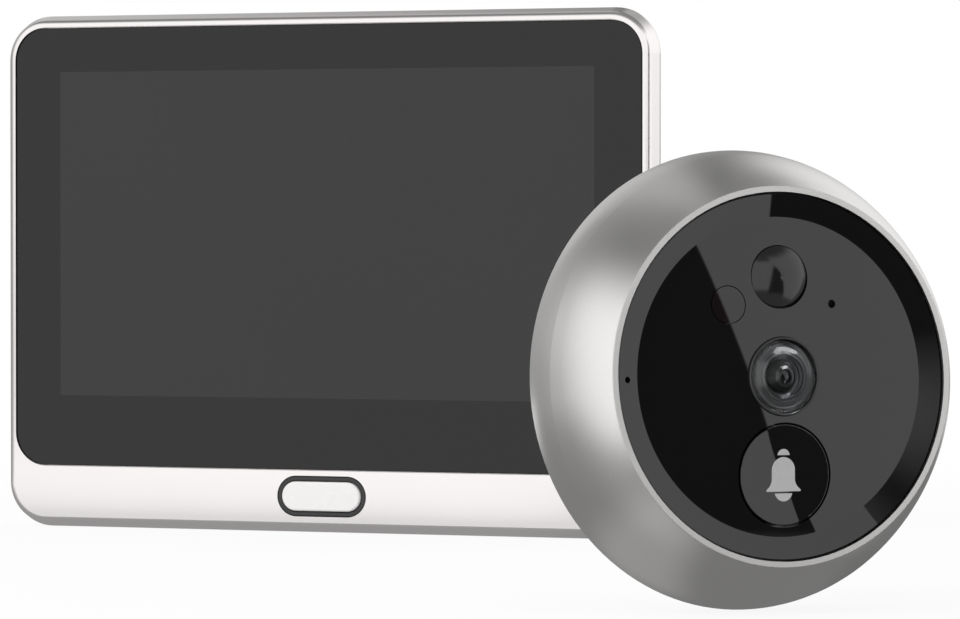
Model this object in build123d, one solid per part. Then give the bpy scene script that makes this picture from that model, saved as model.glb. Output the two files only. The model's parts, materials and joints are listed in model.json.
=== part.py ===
# A door camera in two units: an indoor monitor with a wide screen, and a round outdoor camera with a
# bell button. The two stand side by side on one surface, the way they are shown before fitting to a
# door. Lengths are millimetres and angles are degrees. Each unit is built in a frame of its own:
# X to the right as seen from its front, Y from front to back, Z up. The whole pair is then moved so
# that the middle of its footprint is the origin.
from build123d import *
import os
from math import asin, atan, cos, degrees, hypot, radians, sin, tan

# Monitor: picture area and cover glass
screen_width = 95.04
screen_height = 53.86
border_side = 8.15
border_top = 7.35
border_bottom = 11.7
glass_corner = 5.4
glass_thickness = 1.1
glass_recess = 0.15
glass_gap = 0.12
gasket_thickness = 0.2

# Monitor: front frame with its rounded bevel and the bar under the glass
lip_width = 0.4
bevel_width = 1.67
bevel_depth = 2.6
flank_width = 0.89
bar_height = 8.63
frame_corner = 7.4
inner_corner = 2.5
frame_depth = 3.2
frame_wall = 2.2
ledge_thickness = 1.0
tongue_thickness = 1.0
tongue_height = 1.8
shell_gap = 0.15

# Monitor: rear cover, which narrows towards the door
monitor_depth = 18.5
rear_taper = 28.0
rear_wall = 1.8
rear_corner = 6.0
back_round = 3.0

# Monitor: ribs inside the rear cover, and the catches that hold it to the frame's tongue
rib_thickness = 1.0
rib_height = 1.5
rib_rise = 12.0
rib_spreads = (22.0, 34.0)
rib_speaker_gap = 1.0
catch_width = 8.0
catch_spread = 56.0
catch_rise = 32.0
catch_start = 0.5
catch_depth = 1.0
catch_bite = 0.45
catch_root = 0.3
catch_gap = 0.15

# Monitor: recess that takes the wall bracket, and its hook slots
recess_post_gap = 1.5
recess_speaker_gap = 0.843
recess_depth = 3.2
recess_corner = 4.0
recess_margin = 4.5
hook_inset = (7.0, 8.0)
hook_slot_length = 9.0
hook_slot_height = 3.0

# Monitor: screen module and the metal carrier behind it
module_side = 5.2
module_top = 4.2
module_bottom = 9.1
module_gap = 0.25
module_corner = 1.5
cell_thickness = 1.1
backlight_thickness = 1.8
carrier_thickness = 0.8
carrier_foot = 5.4
carrier_corner = 2.0
carrier_screw_spread = 60.0
carrier_screw_inset = 2.8

# Monitor: main board and what stands on it
board_post_gap = 1.5
board_bay_gap = 2.875
board_tab_margin = 1.0
board_margin = 6.0
board_corner = 2.5
board_thickness = 1.2
board_standoff = 2.05
board_screw_inset = 4.0
shield_size = (28.0, 24.0)
shield_offset = (-16.0, -2.0)
shield_gap = 0.25
shield_wall = 0.3
shield_corner = 1.0
battery_width = 50.0
battery_gap = 1.0
battery_thickness = 5.0
battery_round = 1.2
battery_corner = 2.5
cable_socket_size = (11.0, 6.2)
cable_socket_mouth = (8.0, 3.6)
cable_socket_mouth_depth = 4.5
cable_socket_inset = 8.5
cable_socket_sink = 0.3
cable_socket_corner = 0.6
cable_pin_count = 4
cable_pin_pitch = 1.5
cable_pin_width = 0.5
cable_pin_sink = 1.2
antenna_size = (32.0, 6.0)
antenna_offset = 20.0
antenna_margin = 1.0
antenna_thickness = 0.2

# Monitor: cover screws and their posts
cover_screw_inset = (14.74, 18.64)
cover_post_radius = 2.5
cover_post_end = 12.0
cover_screw_radius = 1.1
cover_head_radius = 2.1
cover_head_height = 1.3
counterbore_depth = 1.7
small_screw_radius = 0.95
small_head_radius = 1.8
small_head_height = 1.0
screw_clearance = 0.1
head_rounding = 0.35
drive_width = 0.42
drive_depth = 0.4
screw_run_out = 0.2

# Monitor: loudspeaker behind its slots
speaker_size = (28.0, 10.0)
speaker_margin = 2.2
speaker_thickness = 4.2
speaker_gasket_thickness = 0.4
speaker_rim = 1.2
speaker_cone_depth = 0.8
speaker_magnet = (14.0, 7.0, 1.2)
speaker_magnet_corner = 1.0
speaker_slot = (1.2, 6.0)
speaker_slot_count = 7
speaker_slot_pitch = 3.0

# Monitor: sockets and power switch in a pocket on the left side
port_pocket_inset = 6.74
port_block_inset = 8.14
port_pocket_front = 7.4
port_pocket_back = 12.4
port_pocket_drop = 16.64
port_margin = 1.5
port_gap = 1.0
port_block_margin = 1.2
charge_socket_size = (7.3, 3.2, 9.0)
charge_socket_shell = 0.3
socket_roundness = 0.42
socket_back_wall = 1.0
charge_tongue_width = 5.6
charge_tongue_thickness = 0.7
charge_tongue_sink = 0.8
card_socket_size = (14.0, 1.9, 14.0)
card_slot_mouth = (1.2, 11.4)
switch_size = (3.6, 3.6, 8.6)
slider_size = (1.4, 2.0)
slider_travel = 2.0
slider_reach = 1.9
slider_hold = 1.96
slider_edge = 0.3
switch_sink = 0.2
socket_clearance = 0.25

# Monitor: front button in the bar
button_width = 13.9
button_height = 4.8
button_ring_width = 0.85
button_proud = 0.45
button_play = 0.1
button_travel = 0.5
button_flange_overlap = 0.6
button_flange_thickness = 0.8
button_flange_gap = 0.15
button_edge = 0.35
button_ring_edge = 0.15
button_board_size = (34.0, 6.8)
button_board_rise = 1.8
button_board_thickness = 1.0
button_board_front = 5.7
button_board_corner = 0.8
button_bay_margin = 1.0
button_switch_size = (5.2, 1.4, 3.6)
plunger_radius = 0.9
plunger_play = 0.08
plunger_sink = 0.4
stake_spread = 26.0
stake_radius = 0.9
stake_length = 1.6
stake_post_radius = 1.8
microphone_size = (3.8, 1.1, 3.0)
microphone_offset = 9.0
microphone_hole_radius = 0.5

# How far a cutting body reaches past the surface it opens
cut_overrun = 1.0

# Camera: domed metal housing, turned about its own axis
camera_radius = 30.2
shoulder_radius = 12.0
shoulder_angle = 21.0
rim_radius = 24.7
rim_height = 12.93
rim_break = 0.12
housing_wall = 1.6
rear_edge_radius = 28.3
rear_edge_depth = 3.2
ledge_radius = 21.4
ledge_depth = 1.2
vent_count = 5
vent_angle = 9.0
vent_size = (2.0, 1.5)
vent_depth = 1.7

# Camera: black front panel, a shallow dish with a domed middle
panel_radius = 23.87
panel_gap = 0.08
panel_edge_drop = 0.3
panel_edge_break = 0.25
valley_radius = 20.73
valley_drop = 1.0
panel_thickness = 2.73
panel_seal_thickness = 0.3
panel_seal_width = 1.6

# Camera: lens in the middle of the panel
lens_hole_radius = 5.18
lens_ring_gap = 0.08
lens_ring_width = 0.3
lens_ring_proud = 0.35
lens_ring_edge = 0.1
lens_cover_thickness = 0.55
lens_cover_proud = 1.75
lens_barrel_radius = 4.6
lens_barrel_thread_radius = 5.4
lens_shelf_drop = 0.55
lens_step_height = 0.15
lens_step_width = 0.25
lens_nose_radius = 2.95
lens_nose_base_radius = 3.9
lens_nose_proud = 0.15
lens_front_radius = 2.75
lens_front_sag = 0.62
lens_front_play = 0.05
lens_front_seat = 0.6
lens_front_stop = 0.9
lens_rear_radius = 2.1
lens_rear_thickness = 1.6
lens_rear_lift = 2.4
lens_bore_radius = 2.15
lens_foot_corner = 1.0
lens_base = 3.2
image_sensor_size = 6.4
image_sensor_thickness = 0.9
image_sensor_gap = 0.3

# Camera: motion sensor above the lens
motion_lift = 12.9
motion_hole_radius = 4.15
motion_gap = 0.13
motion_base_drop = 0.5
motion_sag = 1.2
motion_wall = 0.6
motion_inner_sag = 0.96
motion_flange_radius = 5.0
motion_flange_thickness = 0.6
motion_can_radius = 4.0
motion_can_height = 4.2
motion_can_edge = 0.5
motion_window = (3.0, 2.6)
motion_window_depth = 0.25
motion_sleeve_wall = 0.7

# Camera: light window and microphone hole, one each side of the motion sensor
window_place = (-7.6, 9.35)
window_hole_radius = 2.5
window_gap = 0.07
window_thickness = 1.3
window_ledge = 0.6
led_radius = 1.5
led_height = 2.1
led_sag = 1.47
led_lead_radius = 0.22
led_lead_spread = 1.27
voice_hole_place = (7.6, 9.35)
voice_hole_radius = 0.55
voice_capsule_radius = 2.0
voice_capsule_thickness = 1.2
edge_hole_place = (-22.3, -0.15)
edge_hole_radius = 0.42

# Camera: bell button under the lens
bell_lift = -12.75
bell_hole_radius = 6.8
bell_gap = 0.28
bell_recess = 0.08
bell_dish_radius = 5.9
bell_dish_depth = 0.38
bell_flange_radius = 7.3
bell_flange_thickness = 0.7
bell_flange_gap = 0.15
bell_stem_radius = 1.5
symbol_depth = 0.9
symbol_crest = (1.8, 0.8)
symbol_body = (3.4, 4.45)
symbol_base_width = 5.0
symbol_base_edge = 0.25
symbol_flare = 1.5
symbol_flare_bend = (0.35, 0.4)
symbol_clapper = (2.56, 1.03)
symbol_gap = 0.25
bell_travel = 0.5
bell_seal_radius = 7.1
bell_seal_thickness = 0.4
bell_seal_bore = 1.8
bell_switch_side = 6.0
bell_switch_corner = 0.5
bell_switch_height = 3.2
bell_plunger_radius = 1.7
bell_plunger_height = 1.6
bell_plunger_proud = 1.0

# Camera: chassis, board and loudspeaker
chassis_thickness = 1.4
chassis_gap = 0.3
chassis_post_ring = 21.6
chassis_post_radius = 2.2
chassis_post_turn = 30.0
board_post_ring = 17.0
board_post_turn = 65.0
camera_board_radius = 19.0
camera_board_thickness = 1.2
camera_board_front = 2.0
camera_speaker_radius = 6.6
camera_speaker_thickness = 3.8
camera_magnet_radius = 3.6
camera_magnet_height = 1.2
camera_cone_radius = 5.6
camera_cone_depth = 0.6
camera_speaker_place = (13.4, -3.0)
through_gap = 0.15

# Camera: back plate, foam pad and the stem that passes through the door
back_plate_thickness = 1.8
back_plate_sink = 0.2
back_plate_gap = 0.15
pad_thickness = 1.2
pad_inner_radius = 10.5
pad_edge = 0.6
stem_radius = 7.7
stem_length = 22.0
stem_edge = 0.5
stem_flange_radius = 9.6
stem_flange_thickness = 1.1
stem_bore_radius = 2.4
insert_spread = 10.4
insert_radius = 1.8
insert_thread_radius = 1.25
insert_length = 8.0
insert_relief_length = 7.0
insert_relief_radius = 1.6
grommet_length = 5.0
grommet_bore_radius = 1.6

# Place of the camera beside the monitor: its offset, its turn to the right and its lean to the back
camera_offset_x = 116.2
camera_offset_y = -130.4
camera_turn = 47.1
camera_lean = 3.5

# Sizes that follow from the monitor's values
glass_width = screen_width + 2 * border_side
glass_height = screen_height + border_top + border_bottom
frame_edge = lip_width + bevel_width
frame_width = glass_width + 2 * frame_edge
frame_height = glass_height + frame_edge + bar_height + bevel_width
frame_middle = frame_height / 2
flank_angle = atan(bevel_depth / flank_width)
bevel_round = (bevel_width - flank_width) / tan(flank_angle / 2)
glass_low = bevel_width + bar_height
glass_middle = glass_low + glass_height / 2
screen_middle = glass_low + border_bottom + screen_height / 2
glass_back = glass_recess + glass_thickness
ledge_front = glass_back + gasket_thickness
ledge_back = ledge_front + ledge_thickness
rear_slope = tan(radians(rear_taper))
rear_wall_inset = rear_wall / cos(radians(rear_taper))
tongue_end = frame_depth + tongue_height
inner_back = monitor_depth - rear_wall
recess_floor = monitor_depth - recess_depth
recess_inside = recess_floor - rear_wall
module_width = screen_width + 2 * module_side
module_height = screen_height + module_top + module_bottom
module_middle = screen_middle + (module_top - module_bottom) / 2
cell_back = glass_back + cell_thickness
carrier_front = cell_back + backlight_thickness
carrier_back = carrier_front + carrier_thickness
carrier_high = module_middle + module_height / 2
board_front = carrier_back + board_standoff
board_back = board_front + board_thickness
button_middle = bevel_width + bar_height / 2
button_board_middle = button_middle + button_board_rise
cover_screw_spread = frame_width - 2 * cover_screw_inset[0]
cover_screw_rise = frame_height - 2 * cover_screw_inset[1]
board_width = cover_screw_spread - 2 * (cover_post_radius + board_post_gap)
board_low = button_board_middle + button_board_size[1] / 2 + board_bay_gap
board_height = carrier_high - board_margin - board_low
board_middle = board_low + board_height / 2
cable_socket_middle = board_middle + board_height / 2 - cable_socket_inset
speaker_low = (inner_back - frame_depth) * rear_slope + rear_wall_inset + speaker_margin
speaker_middle = speaker_low + speaker_size[1] / 2
recess_high = cable_socket_middle + recess_margin
recess_low = speaker_middle + speaker_size[1] / 2 + rear_wall + recess_speaker_gap
recess_middle = (recess_high + recess_low) / 2
recess_height = recess_high - recess_low
recess_width = cover_screw_spread - 2 * (cover_post_radius + recess_post_gap)
hook_spread = recess_width - 2 * hook_inset[0]
hook_rise = recess_height - 2 * hook_inset[1]
battery_low = speaker_middle + speaker_size[1] / 2 + battery_gap
battery_high = cable_socket_middle - cable_socket_size[1] / 2 - battery_gap
port_pocket_floor = frame_width / 2 - port_pocket_inset
port_block_inside = frame_width / 2 - port_block_inset
port_pocket_low = frame_middle - port_pocket_drop
charge_socket_middle = port_pocket_low + port_margin + charge_socket_size[2] / 2
card_socket_low = charge_socket_middle + charge_socket_size[2] / 2 + port_gap
card_socket_middle = card_socket_low + card_socket_size[2] / 2
switch_low = card_socket_low + card_socket_size[2] + port_gap
switch_middle = switch_low + switch_size[2] / 2
port_pocket_high = switch_low + switch_size[2] + port_margin
button_ring_reach = button_ring_width + button_play
cover_screws = [
    (side * cover_screw_spread / 2, frame_middle + rise * cover_screw_rise / 2)
    for side in (-1, 1)
    for rise in (-1, 1)
]
board_screws = [
    (
        side * (board_width / 2 - board_screw_inset),
        board_middle + rise * (board_height / 2 - board_screw_inset),
    )
    for side in (-1, 1)
    for rise in (-1, 1)
]
carrier_screws = [(side * carrier_screw_spread / 2, carrier_foot + carrier_screw_inset) for side in (-1, 1)]
stakes = [(side * stake_spread / 2, button_middle) for side in (-1, 1)]

# Sizes that follow from the camera's values; its front is towards negative Y
panel_edge_front = -rim_height + panel_edge_drop
panel_back = -rim_height + panel_thickness
valley_front = -rim_height + valley_drop
dome_radius = (valley_radius**2 + valley_drop**2) / (2 * valley_drop)
housing_ledge_front = panel_back + panel_seal_thickness
housing_ledge_back = housing_ledge_front + ledge_depth
chassis_front = housing_ledge_back
chassis_back = chassis_front + chassis_thickness
camera_board_face = -camera_board_front
camera_board_back = camera_board_face + camera_board_thickness
back_plate_back = rear_edge_depth - back_plate_sink
back_plate_front = back_plate_back - back_plate_thickness
pad_back = back_plate_back + pad_thickness
stem_end = back_plate_back + stem_length
bell_radius = bell_hole_radius - bell_gap
bell_flange_front = panel_back + bell_flange_gap
bell_flange_back = bell_flange_front + bell_flange_thickness
bell_switch_front = camera_board_face - bell_switch_height
bell_plunger_front = bell_switch_front - bell_plunger_proud
chassis_posts = [
    (
        chassis_post_ring * cos(radians(chassis_post_turn + step * 120)),
        chassis_post_ring * sin(radians(chassis_post_turn + step * 120)),
    )
    for step in range(3)
]
board_posts = [
    (
        board_post_ring * cos(radians(board_post_turn + step * 120)),
        board_post_ring * sin(radians(board_post_turn + step * 120)),
    )
    for step in range(3)
]
inserts = [(side * insert_spread / 2, 0) for side in (-1, 1)]


def prism(profile, start, end, taper=0):
    """A flat profile, drawn as seen from the front, carried along Y from start to end."""
    face = Plane(origin=(0, start, 0), x_dir=(1, 0, 0), z_dir=(0, -1, 0)) * profile
    heading = 1 if end > start else -1
    return extrude(face, amount=abs(end - start), dir=(0, heading, 0), taper=taper)


def rod(radius, start, end, place=(0, 0)):
    """A round bar along Y, with its axis at place."""
    return prism(Pos(*place) * Circle(radius), start, end)


def tube(outer, inner, start, end, place=(0, 0)):
    """A round tube along Y."""
    return prism(Pos(*place) * (Circle(outer) - Circle(inner)), start, end)


def slab(width, height, start, end, place=(0, 0), corner=0):
    """A flat block along Y, with rounded corners where corner isn't 0."""
    outline = RectangleRounded(width, height, corner) if corner else Rectangle(width, height)
    return prism(Pos(*place) * outline, start, end)


def turned(*edges):
    """A body of revolution about the Y axis, from the edges of its half section."""
    return revolve(make_face(edges), axis=Axis.Y)


def cap_height(radius, chord):
    """How far a ball of this radius drops from its pole at a distance of chord from its axis."""
    return radius - (radius**2 - chord**2) ** 0.5


def ball_radius(edge, sag):
    """The radius of the ball whose cap is edge wide from its axis, and sag high."""
    return (edge**2 + sag**2) / (2 * sag)


def dome(edge, base, sag):
    """A round plug cap: flat at base, rising towards the front by sag."""
    radius = ball_radius(edge, sag)
    half = edge / 2
    crown = ThreePointArc((edge, base), (half, base - sag + cap_height(radius, half)), (0, base - sag))
    return turned(Line((0, base), (edge, base)), crown, Line((0, base - sag), (0, base)))


def screws(places, head_seat, head_radius, head_height, radius, end, heading=-1):
    """Pan head screws along Y. heading -1 drives them towards the front, from head_seat to end."""
    bodies = []
    for place in places:
        head = rod(head_radius, head_seat, head_seat - heading * head_height, place)
        rim = head.edges().filter_by(GeomType.CIRCLE).group_by(Axis.Y)[-1 if heading < 0 else 0]
        head = fillet(rim, head_height * head_rounding)
        drive = RegularPolygon(head_radius * drive_width, 6)
        drive_end = head_seat - heading * head_height * drive_depth
        socket = prism(Pos(*place) * drive, head_seat - heading * head_height, drive_end)
        bodies.append(head + rod(radius, head_seat, end, place) - socket)
    return Compound(bodies)


def frame_outline(inset=0.0):
    """The monitor's outer outline, drawn in by inset."""
    corner = max(frame_corner - inset, inner_corner)
    return Pos(0, frame_middle) * RectangleRounded(frame_width - 2 * inset, frame_height - 2 * inset, corner)


def cover_outline(depth, inset=0.0):
    """The rear cover's outline at a depth behind the front, drawn in by inset."""
    behind = depth - frame_depth
    narrowing = behind * rear_slope + inset
    corner = frame_corner + (rear_corner - frame_corner) * behind / (monitor_depth - frame_depth) - inset
    return Pos(0, frame_middle) * RectangleRounded(
        frame_width - 2 * narrowing, frame_height - 2 * narrowing, max(corner, inner_corner)
    )


def cover_blank(end, inset=0.0):
    """The rear cover's tapered form down to end, drawn in by inset."""
    faces = [
        Plane(origin=(0, depth, 0), x_dir=(1, 0, 0), z_dir=(0, -1, 0)) * cover_outline(depth, inset)
        for depth in (frame_depth, end)
    ]
    return loft(faces, ruled=True)


def glass_outline(grow=0.0):
    """The cover glass's outline, grown by grow."""
    return Pos(0, glass_middle) * RectangleRounded(
        glass_width + 2 * grow, glass_height + 2 * grow, glass_corner + grow
    )


def module_outline(grow=0.0):
    """The screen module's outline, grown by grow."""
    return Pos(0, module_middle) * RectangleRounded(
        module_width + 2 * grow, module_height + 2 * grow, module_corner + grow
    )


def button_outline(grow=0.0):
    """The front button's pill outline, grown by grow."""
    return Pos(0, button_middle) * SlotOverall(button_width + 2 * grow, button_height + 2 * grow)


def button_bay():
    """The stretch behind the bar that the tongue and the carrier leave free for the button's board."""
    height = 2 * (module_middle - module_height / 2)
    return Rectangle(button_board_size[0] + 2 * button_bay_margin, height)


def front_frame():
    """One cast frame: rounded bevel, seat for the glass, window for the screen, bar, bosses and catches."""
    flank_taper = 90 - degrees(flank_angle)
    body = prism(frame_outline(), bevel_depth, frame_depth)
    body += prism(frame_outline(), bevel_depth, 0, taper=flank_taper)
    body = fillet(body.edges().group_by(Axis.Y)[0], bevel_round)
    body -= prism(glass_outline(glass_gap), 0, ledge_front)
    body -= prism(module_outline(module_gap), ledge_front, frame_depth)
    body -= prism(frame_outline(frame_wall), ledge_back, frame_depth)
    tongue_inset = rear_wall_inset + shell_gap
    tongue = cover_outline(tongue_end, tongue_inset)
    tongue -= cover_outline(tongue_end, tongue_inset + tongue_thickness)
    body += prism(tongue - button_bay(), ledge_back, tongue_end)
    body += catch_blocks(0)
    for place in carrier_screws:
        body += rod(cover_post_radius, ledge_back, carrier_front, place)
        body -= rod(small_screw_radius + screw_clearance, ledge_back, carrier_front, place)
    for place in stakes:
        body += rod(stake_post_radius, ledge_back, button_board_front, place)
        body += rod(stake_radius, button_board_front, button_board_front + stake_length, place)
    body -= prism(button_outline(button_ring_reach), 0, ledge_back)
    return body


def catch_blocks(gap):
    """The blocks that stand out of the frame's tongue, or with a gap the notches that they snap into."""
    start = frame_depth + catch_start
    middle_depth = start + catch_depth / 2 - frame_depth
    outer = middle_depth * rear_slope + rear_wall_inset - catch_bite - gap
    inner = tongue_height * rear_slope + rear_wall_inset + shell_gap + catch_root
    reach = (inner + outer) / 2
    span = (start - gap, start + catch_depth + gap)
    blocks = []
    for side in (-1, 1):
        for step in (-1, 1):
            flat = (step * catch_spread / 2, frame_middle + side * (frame_middle - reach))
            upright = (side * (frame_width / 2 - reach), frame_middle + step * catch_rise / 2)
            blocks.append(slab(catch_width + 2 * gap, inner - outer, *span, flat))
            blocks.append(slab(inner - outer, catch_width + 2 * gap, *span, upright))
    return blocks


def screen_gasket():
    """A thin adhesive frame between the glass and its ledge."""
    return prism(glass_outline() - module_outline(module_gap), glass_back, ledge_front)


def screen_glass():
    """The cover glass, with a fine polished edge."""
    glass = prism(glass_outline(), glass_recess, glass_back)
    return chamfer(glass.edges().group_by(Axis.Y)[0], glass_gap)


def screen_carrier():
    """A stamped plate behind the screen, with its pressed-in posts for the board and the rear cover."""
    height = carrier_high - carrier_foot
    outline = Pos(0, carrier_foot + height / 2) * RectangleRounded(module_width, height, carrier_corner)
    plate = prism(outline - button_bay(), carrier_front, carrier_back)
    for place in carrier_screws:
        plate -= rod(small_screw_radius + screw_clearance, carrier_front, carrier_back, place)
    for place in board_screws:
        plate += rod(cover_post_radius, carrier_back, board_front, place)
        plate -= rod(small_screw_radius + screw_clearance, carrier_back, board_front, place)
    for place in cover_screws:
        plate += rod(cover_post_radius, carrier_back, cover_post_end, place)
        plate -= rod(cover_screw_radius + screw_clearance, carrier_back, cover_post_end, place)
    return plate


def main_board():
    """The circuit board, with a tab towards the sockets on the left."""
    tab_low = port_pocket_low + board_tab_margin
    tab_high = port_pocket_high - board_tab_margin
    tab_reach = port_block_inside - board_tab_margin
    outline = Pos(0, board_middle) * RectangleRounded(board_width, board_height, board_corner)
    outline += Pos(-tab_reach / 2, (tab_low + tab_high) / 2) * Rectangle(tab_reach, tab_high - tab_low)
    board = prism(outline, board_front, board_back)
    for place in board_screws:
        board -= rod(small_screw_radius + screw_clearance, board_front, board_back, place)
    return board


def processor_shield():
    """A folded tin lid over the processor, on the board's front side."""
    front = carrier_back + shield_gap
    place = (shield_offset[0], board_middle + shield_offset[1])
    lid = slab(*shield_size, front, board_front, place)
    lid = fillet(lid.edges().filter_by(Axis.Y), shield_corner)
    inner_width = shield_size[0] - 2 * shield_wall
    inner_height = shield_size[1] - 2 * shield_wall
    return lid - slab(inner_width, inner_height, front + shield_wall, board_front, place)


def antenna():
    """The aerial's thin film, stuck to the carrier under its top edge."""
    place = (antenna_offset, carrier_high - antenna_margin - antenna_size[1] / 2)
    return slab(*antenna_size, carrier_back, carrier_back + antenna_thickness, place)


def battery_pack():
    """A flat pouch battery, taped to the board."""
    place = (0, (battery_low + battery_high) / 2)
    height = battery_high - battery_low
    pouch = slab(battery_width, height, board_back, board_back + battery_thickness, place, battery_corner)
    return fillet(pouch.edges().group_by(Axis.Y)[-1], battery_round)


def cable_socket():
    """The socket that the camera's lead plugs into, with four contact pins."""
    place = (0, cable_socket_middle)
    end = recess_floor - cable_socket_sink
    body = slab(*cable_socket_size, board_back, end, place)
    body -= slab(*cable_socket_mouth, end - cable_socket_mouth_depth, end, place)
    first = -(cable_pin_count - 1) / 2
    for step in range(cable_pin_count):
        pin = ((first + step) * cable_pin_pitch, cable_socket_middle)
        pin_end = end - cable_pin_sink
        body += slab(cable_pin_width, cable_pin_width, end - cable_socket_mouth_depth, pin_end, pin)
    return body


def cover_ribs():
    """Stiffening ribs inside the cover's back: they run from wall to wall, clear of recess and speaker."""
    front = inner_back - rib_height
    ribs = []
    for step in (-1, 0, 1):
        ribs.append(slab(frame_width, rib_thickness, front, inner_back, (0, frame_middle + step * rib_rise)))
    for spread in rib_spreads:
        for side in (-1, 1):
            ribs.append(slab(rib_thickness, frame_height, front, inner_back, (side * spread, frame_middle)))
    recess = slab(recess_width, recess_height, front, inner_back, (0, recess_middle))
    clear = (speaker_size[0] + 2 * rib_speaker_gap, speaker_size[1] + 2 * rib_speaker_gap)
    speaker = slab(*clear, front, inner_back, (0, speaker_middle))
    return [(rib - recess - speaker) & cover_blank(monitor_depth) for rib in ribs]


def rear_cover():
    """The plastic back: tapered walls, ribs, bracket recess, hook slots, bosses, slots and pocket."""
    body = cover_blank(monitor_depth)
    body = fillet(body.edges().group_by(Axis.Y)[-1], back_round)
    body -= cover_blank(inner_back, rear_wall_inset)
    body -= catch_blocks(catch_gap)
    body += cover_ribs()
    recess = (0, recess_middle)
    tray = (recess_width + 2 * rear_wall, recess_height + 2 * rear_wall)
    body += slab(*tray, recess_inside, inner_back, recess, recess_corner)
    for place in cover_screws:
        body += rod(cover_post_radius, cover_post_end, inner_back, place)
        body -= rod(cover_screw_radius + screw_clearance, cover_post_end, monitor_depth, place)
        bore_start = monitor_depth - counterbore_depth
        body -= rod(cover_head_radius + screw_clearance, bore_start, monitor_depth, place)
    body -= slab(recess_width, recess_height, recess_floor, monitor_depth, recess, recess_corner)
    for side in (-1, 1):
        for rise in (-1, 1):
            slot = Pos(side * hook_spread / 2, recess_middle + rise * hook_rise / 2) * SlotOverall(
                hook_slot_length, hook_slot_height
            )
            body -= prism(slot, recess_inside, recess_floor)
    mouth = (cable_socket_size[0] + 2 * socket_clearance, cable_socket_size[1] + 2 * socket_clearance)
    body -= slab(*mouth, recess_inside, recess_floor, (0, cable_socket_middle), cable_socket_corner)
    first = -(speaker_slot_count - 1) / 2
    for step in range(speaker_slot_count):
        place = Pos((first + step) * speaker_slot_pitch, speaker_middle)
        slot = place * SlotOverall(speaker_slot[1], speaker_slot[0], rotation=90)
        body -= prism(slot, inner_back, monitor_depth)
    body += port_block()
    body -= port_cuts()
    hole_depth = button_board_front + button_board_thickness + microphone_size[1] / 2
    hole = Pos(microphone_offset, hole_depth) * Circle(microphone_hole_radius)
    return body - extrude(hole, amount=button_middle)


def port_block():
    """The thick wall round the sockets, clipped to the rear cover's own outside."""
    low = port_pocket_low - port_block_margin
    high = port_pocket_high + port_block_margin
    front = port_pocket_front - port_block_margin
    back = port_pocket_back + port_block_margin
    reach = frame_width / 2 - port_block_inside
    place = (-(port_block_inside + reach / 2), (low + high) / 2)
    block = slab(reach, high - low, front, back, place)
    return block & cover_blank(monitor_depth)


def side_hole(depth_front, depth_back, low, high, inside, outside):
    """A block cut into the monitor's left side, between two distances from the middle."""
    place = (-(inside + outside) / 2, (low + high) / 2)
    return slab(outside - inside, high - low, depth_front, depth_back, place)


def port_cuts():
    """The pocket on the left, with the mouths of the charge socket, card slot and power switch."""
    outside = frame_width / 2 + cut_overrun
    cuts = side_hole(
        port_pocket_front, port_pocket_back, port_pocket_low, port_pocket_high, port_pocket_floor, outside
    )
    gap = socket_clearance
    inside = port_block_inside - cut_overrun
    cuts += side_hole(
        board_back - gap,
        board_back + charge_socket_size[1] + gap,
        charge_socket_middle - charge_socket_size[2] / 2 - gap,
        charge_socket_middle + charge_socket_size[2] / 2 + gap,
        inside,
        outside,
    )
    slot_front = board_back + (card_socket_size[1] - card_slot_mouth[0]) / 2
    cuts += side_hole(
        slot_front,
        slot_front + card_slot_mouth[0],
        card_socket_middle - card_slot_mouth[1] / 2,
        card_socket_middle + card_slot_mouth[1] / 2,
        inside,
        outside,
    )
    lever_front = board_back + (switch_size[1] - slider_size[0]) / 2
    half = (slider_size[1] + slider_travel) / 2 + gap
    cuts += side_hole(
        lever_front - gap,
        lever_front + slider_size[0] + gap,
        switch_middle - half,
        switch_middle + half,
        inside,
        outside,
    )
    return cuts


def charge_socket():
    """A folded steel socket shell with its contact tongue."""
    depth, thick, wide = charge_socket_size
    outer = port_block_inside
    place = (-(outer - depth / 2), charge_socket_middle)
    shell = slab(depth, wide, board_back, board_back + thick, place)
    shell = fillet(shell.edges().filter_by(Axis.X), thick * socket_roundness)
    wall = charge_socket_shell
    bore_depth = depth - socket_back_wall
    bore_place = (-(outer - bore_depth / 2), charge_socket_middle)
    bore = slab(bore_depth, wide - 2 * wall, board_back + wall, board_back + thick - wall, bore_place)
    bore = fillet(bore.edges().filter_by(Axis.X), (thick - 2 * wall) * socket_roundness)
    front = board_back + (thick - charge_tongue_thickness) / 2
    reach = depth - charge_tongue_sink
    tongue_place = (-(outer - charge_tongue_sink - reach / 2), charge_socket_middle)
    tongue = slab(reach, charge_tongue_width, front, front + charge_tongue_thickness, tongue_place)
    return shell - bore + tongue


def card_socket():
    """A thin steel card cage, open towards the side."""
    depth, thick, wide = card_socket_size
    place = (-(port_block_inside - depth / 2), card_socket_middle)
    cage = slab(depth, wide, board_back, board_back + thick, place)
    front = board_back + (thick - card_slot_mouth[0]) / 2
    slot_depth = depth - socket_back_wall
    slot_place = (-(port_block_inside - slot_depth / 2), card_socket_middle)
    return cage - slab(slot_depth, card_slot_mouth[1], front, front + card_slot_mouth[0], slot_place)


def switch_slot_place():
    """Where the power switch's lever track lies: its front, back and half length."""
    lever_front = board_back + (switch_size[1] - slider_size[0]) / 2
    half = (slider_size[1] + slider_travel) / 2
    return lever_front, lever_front + slider_size[0], half


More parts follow.
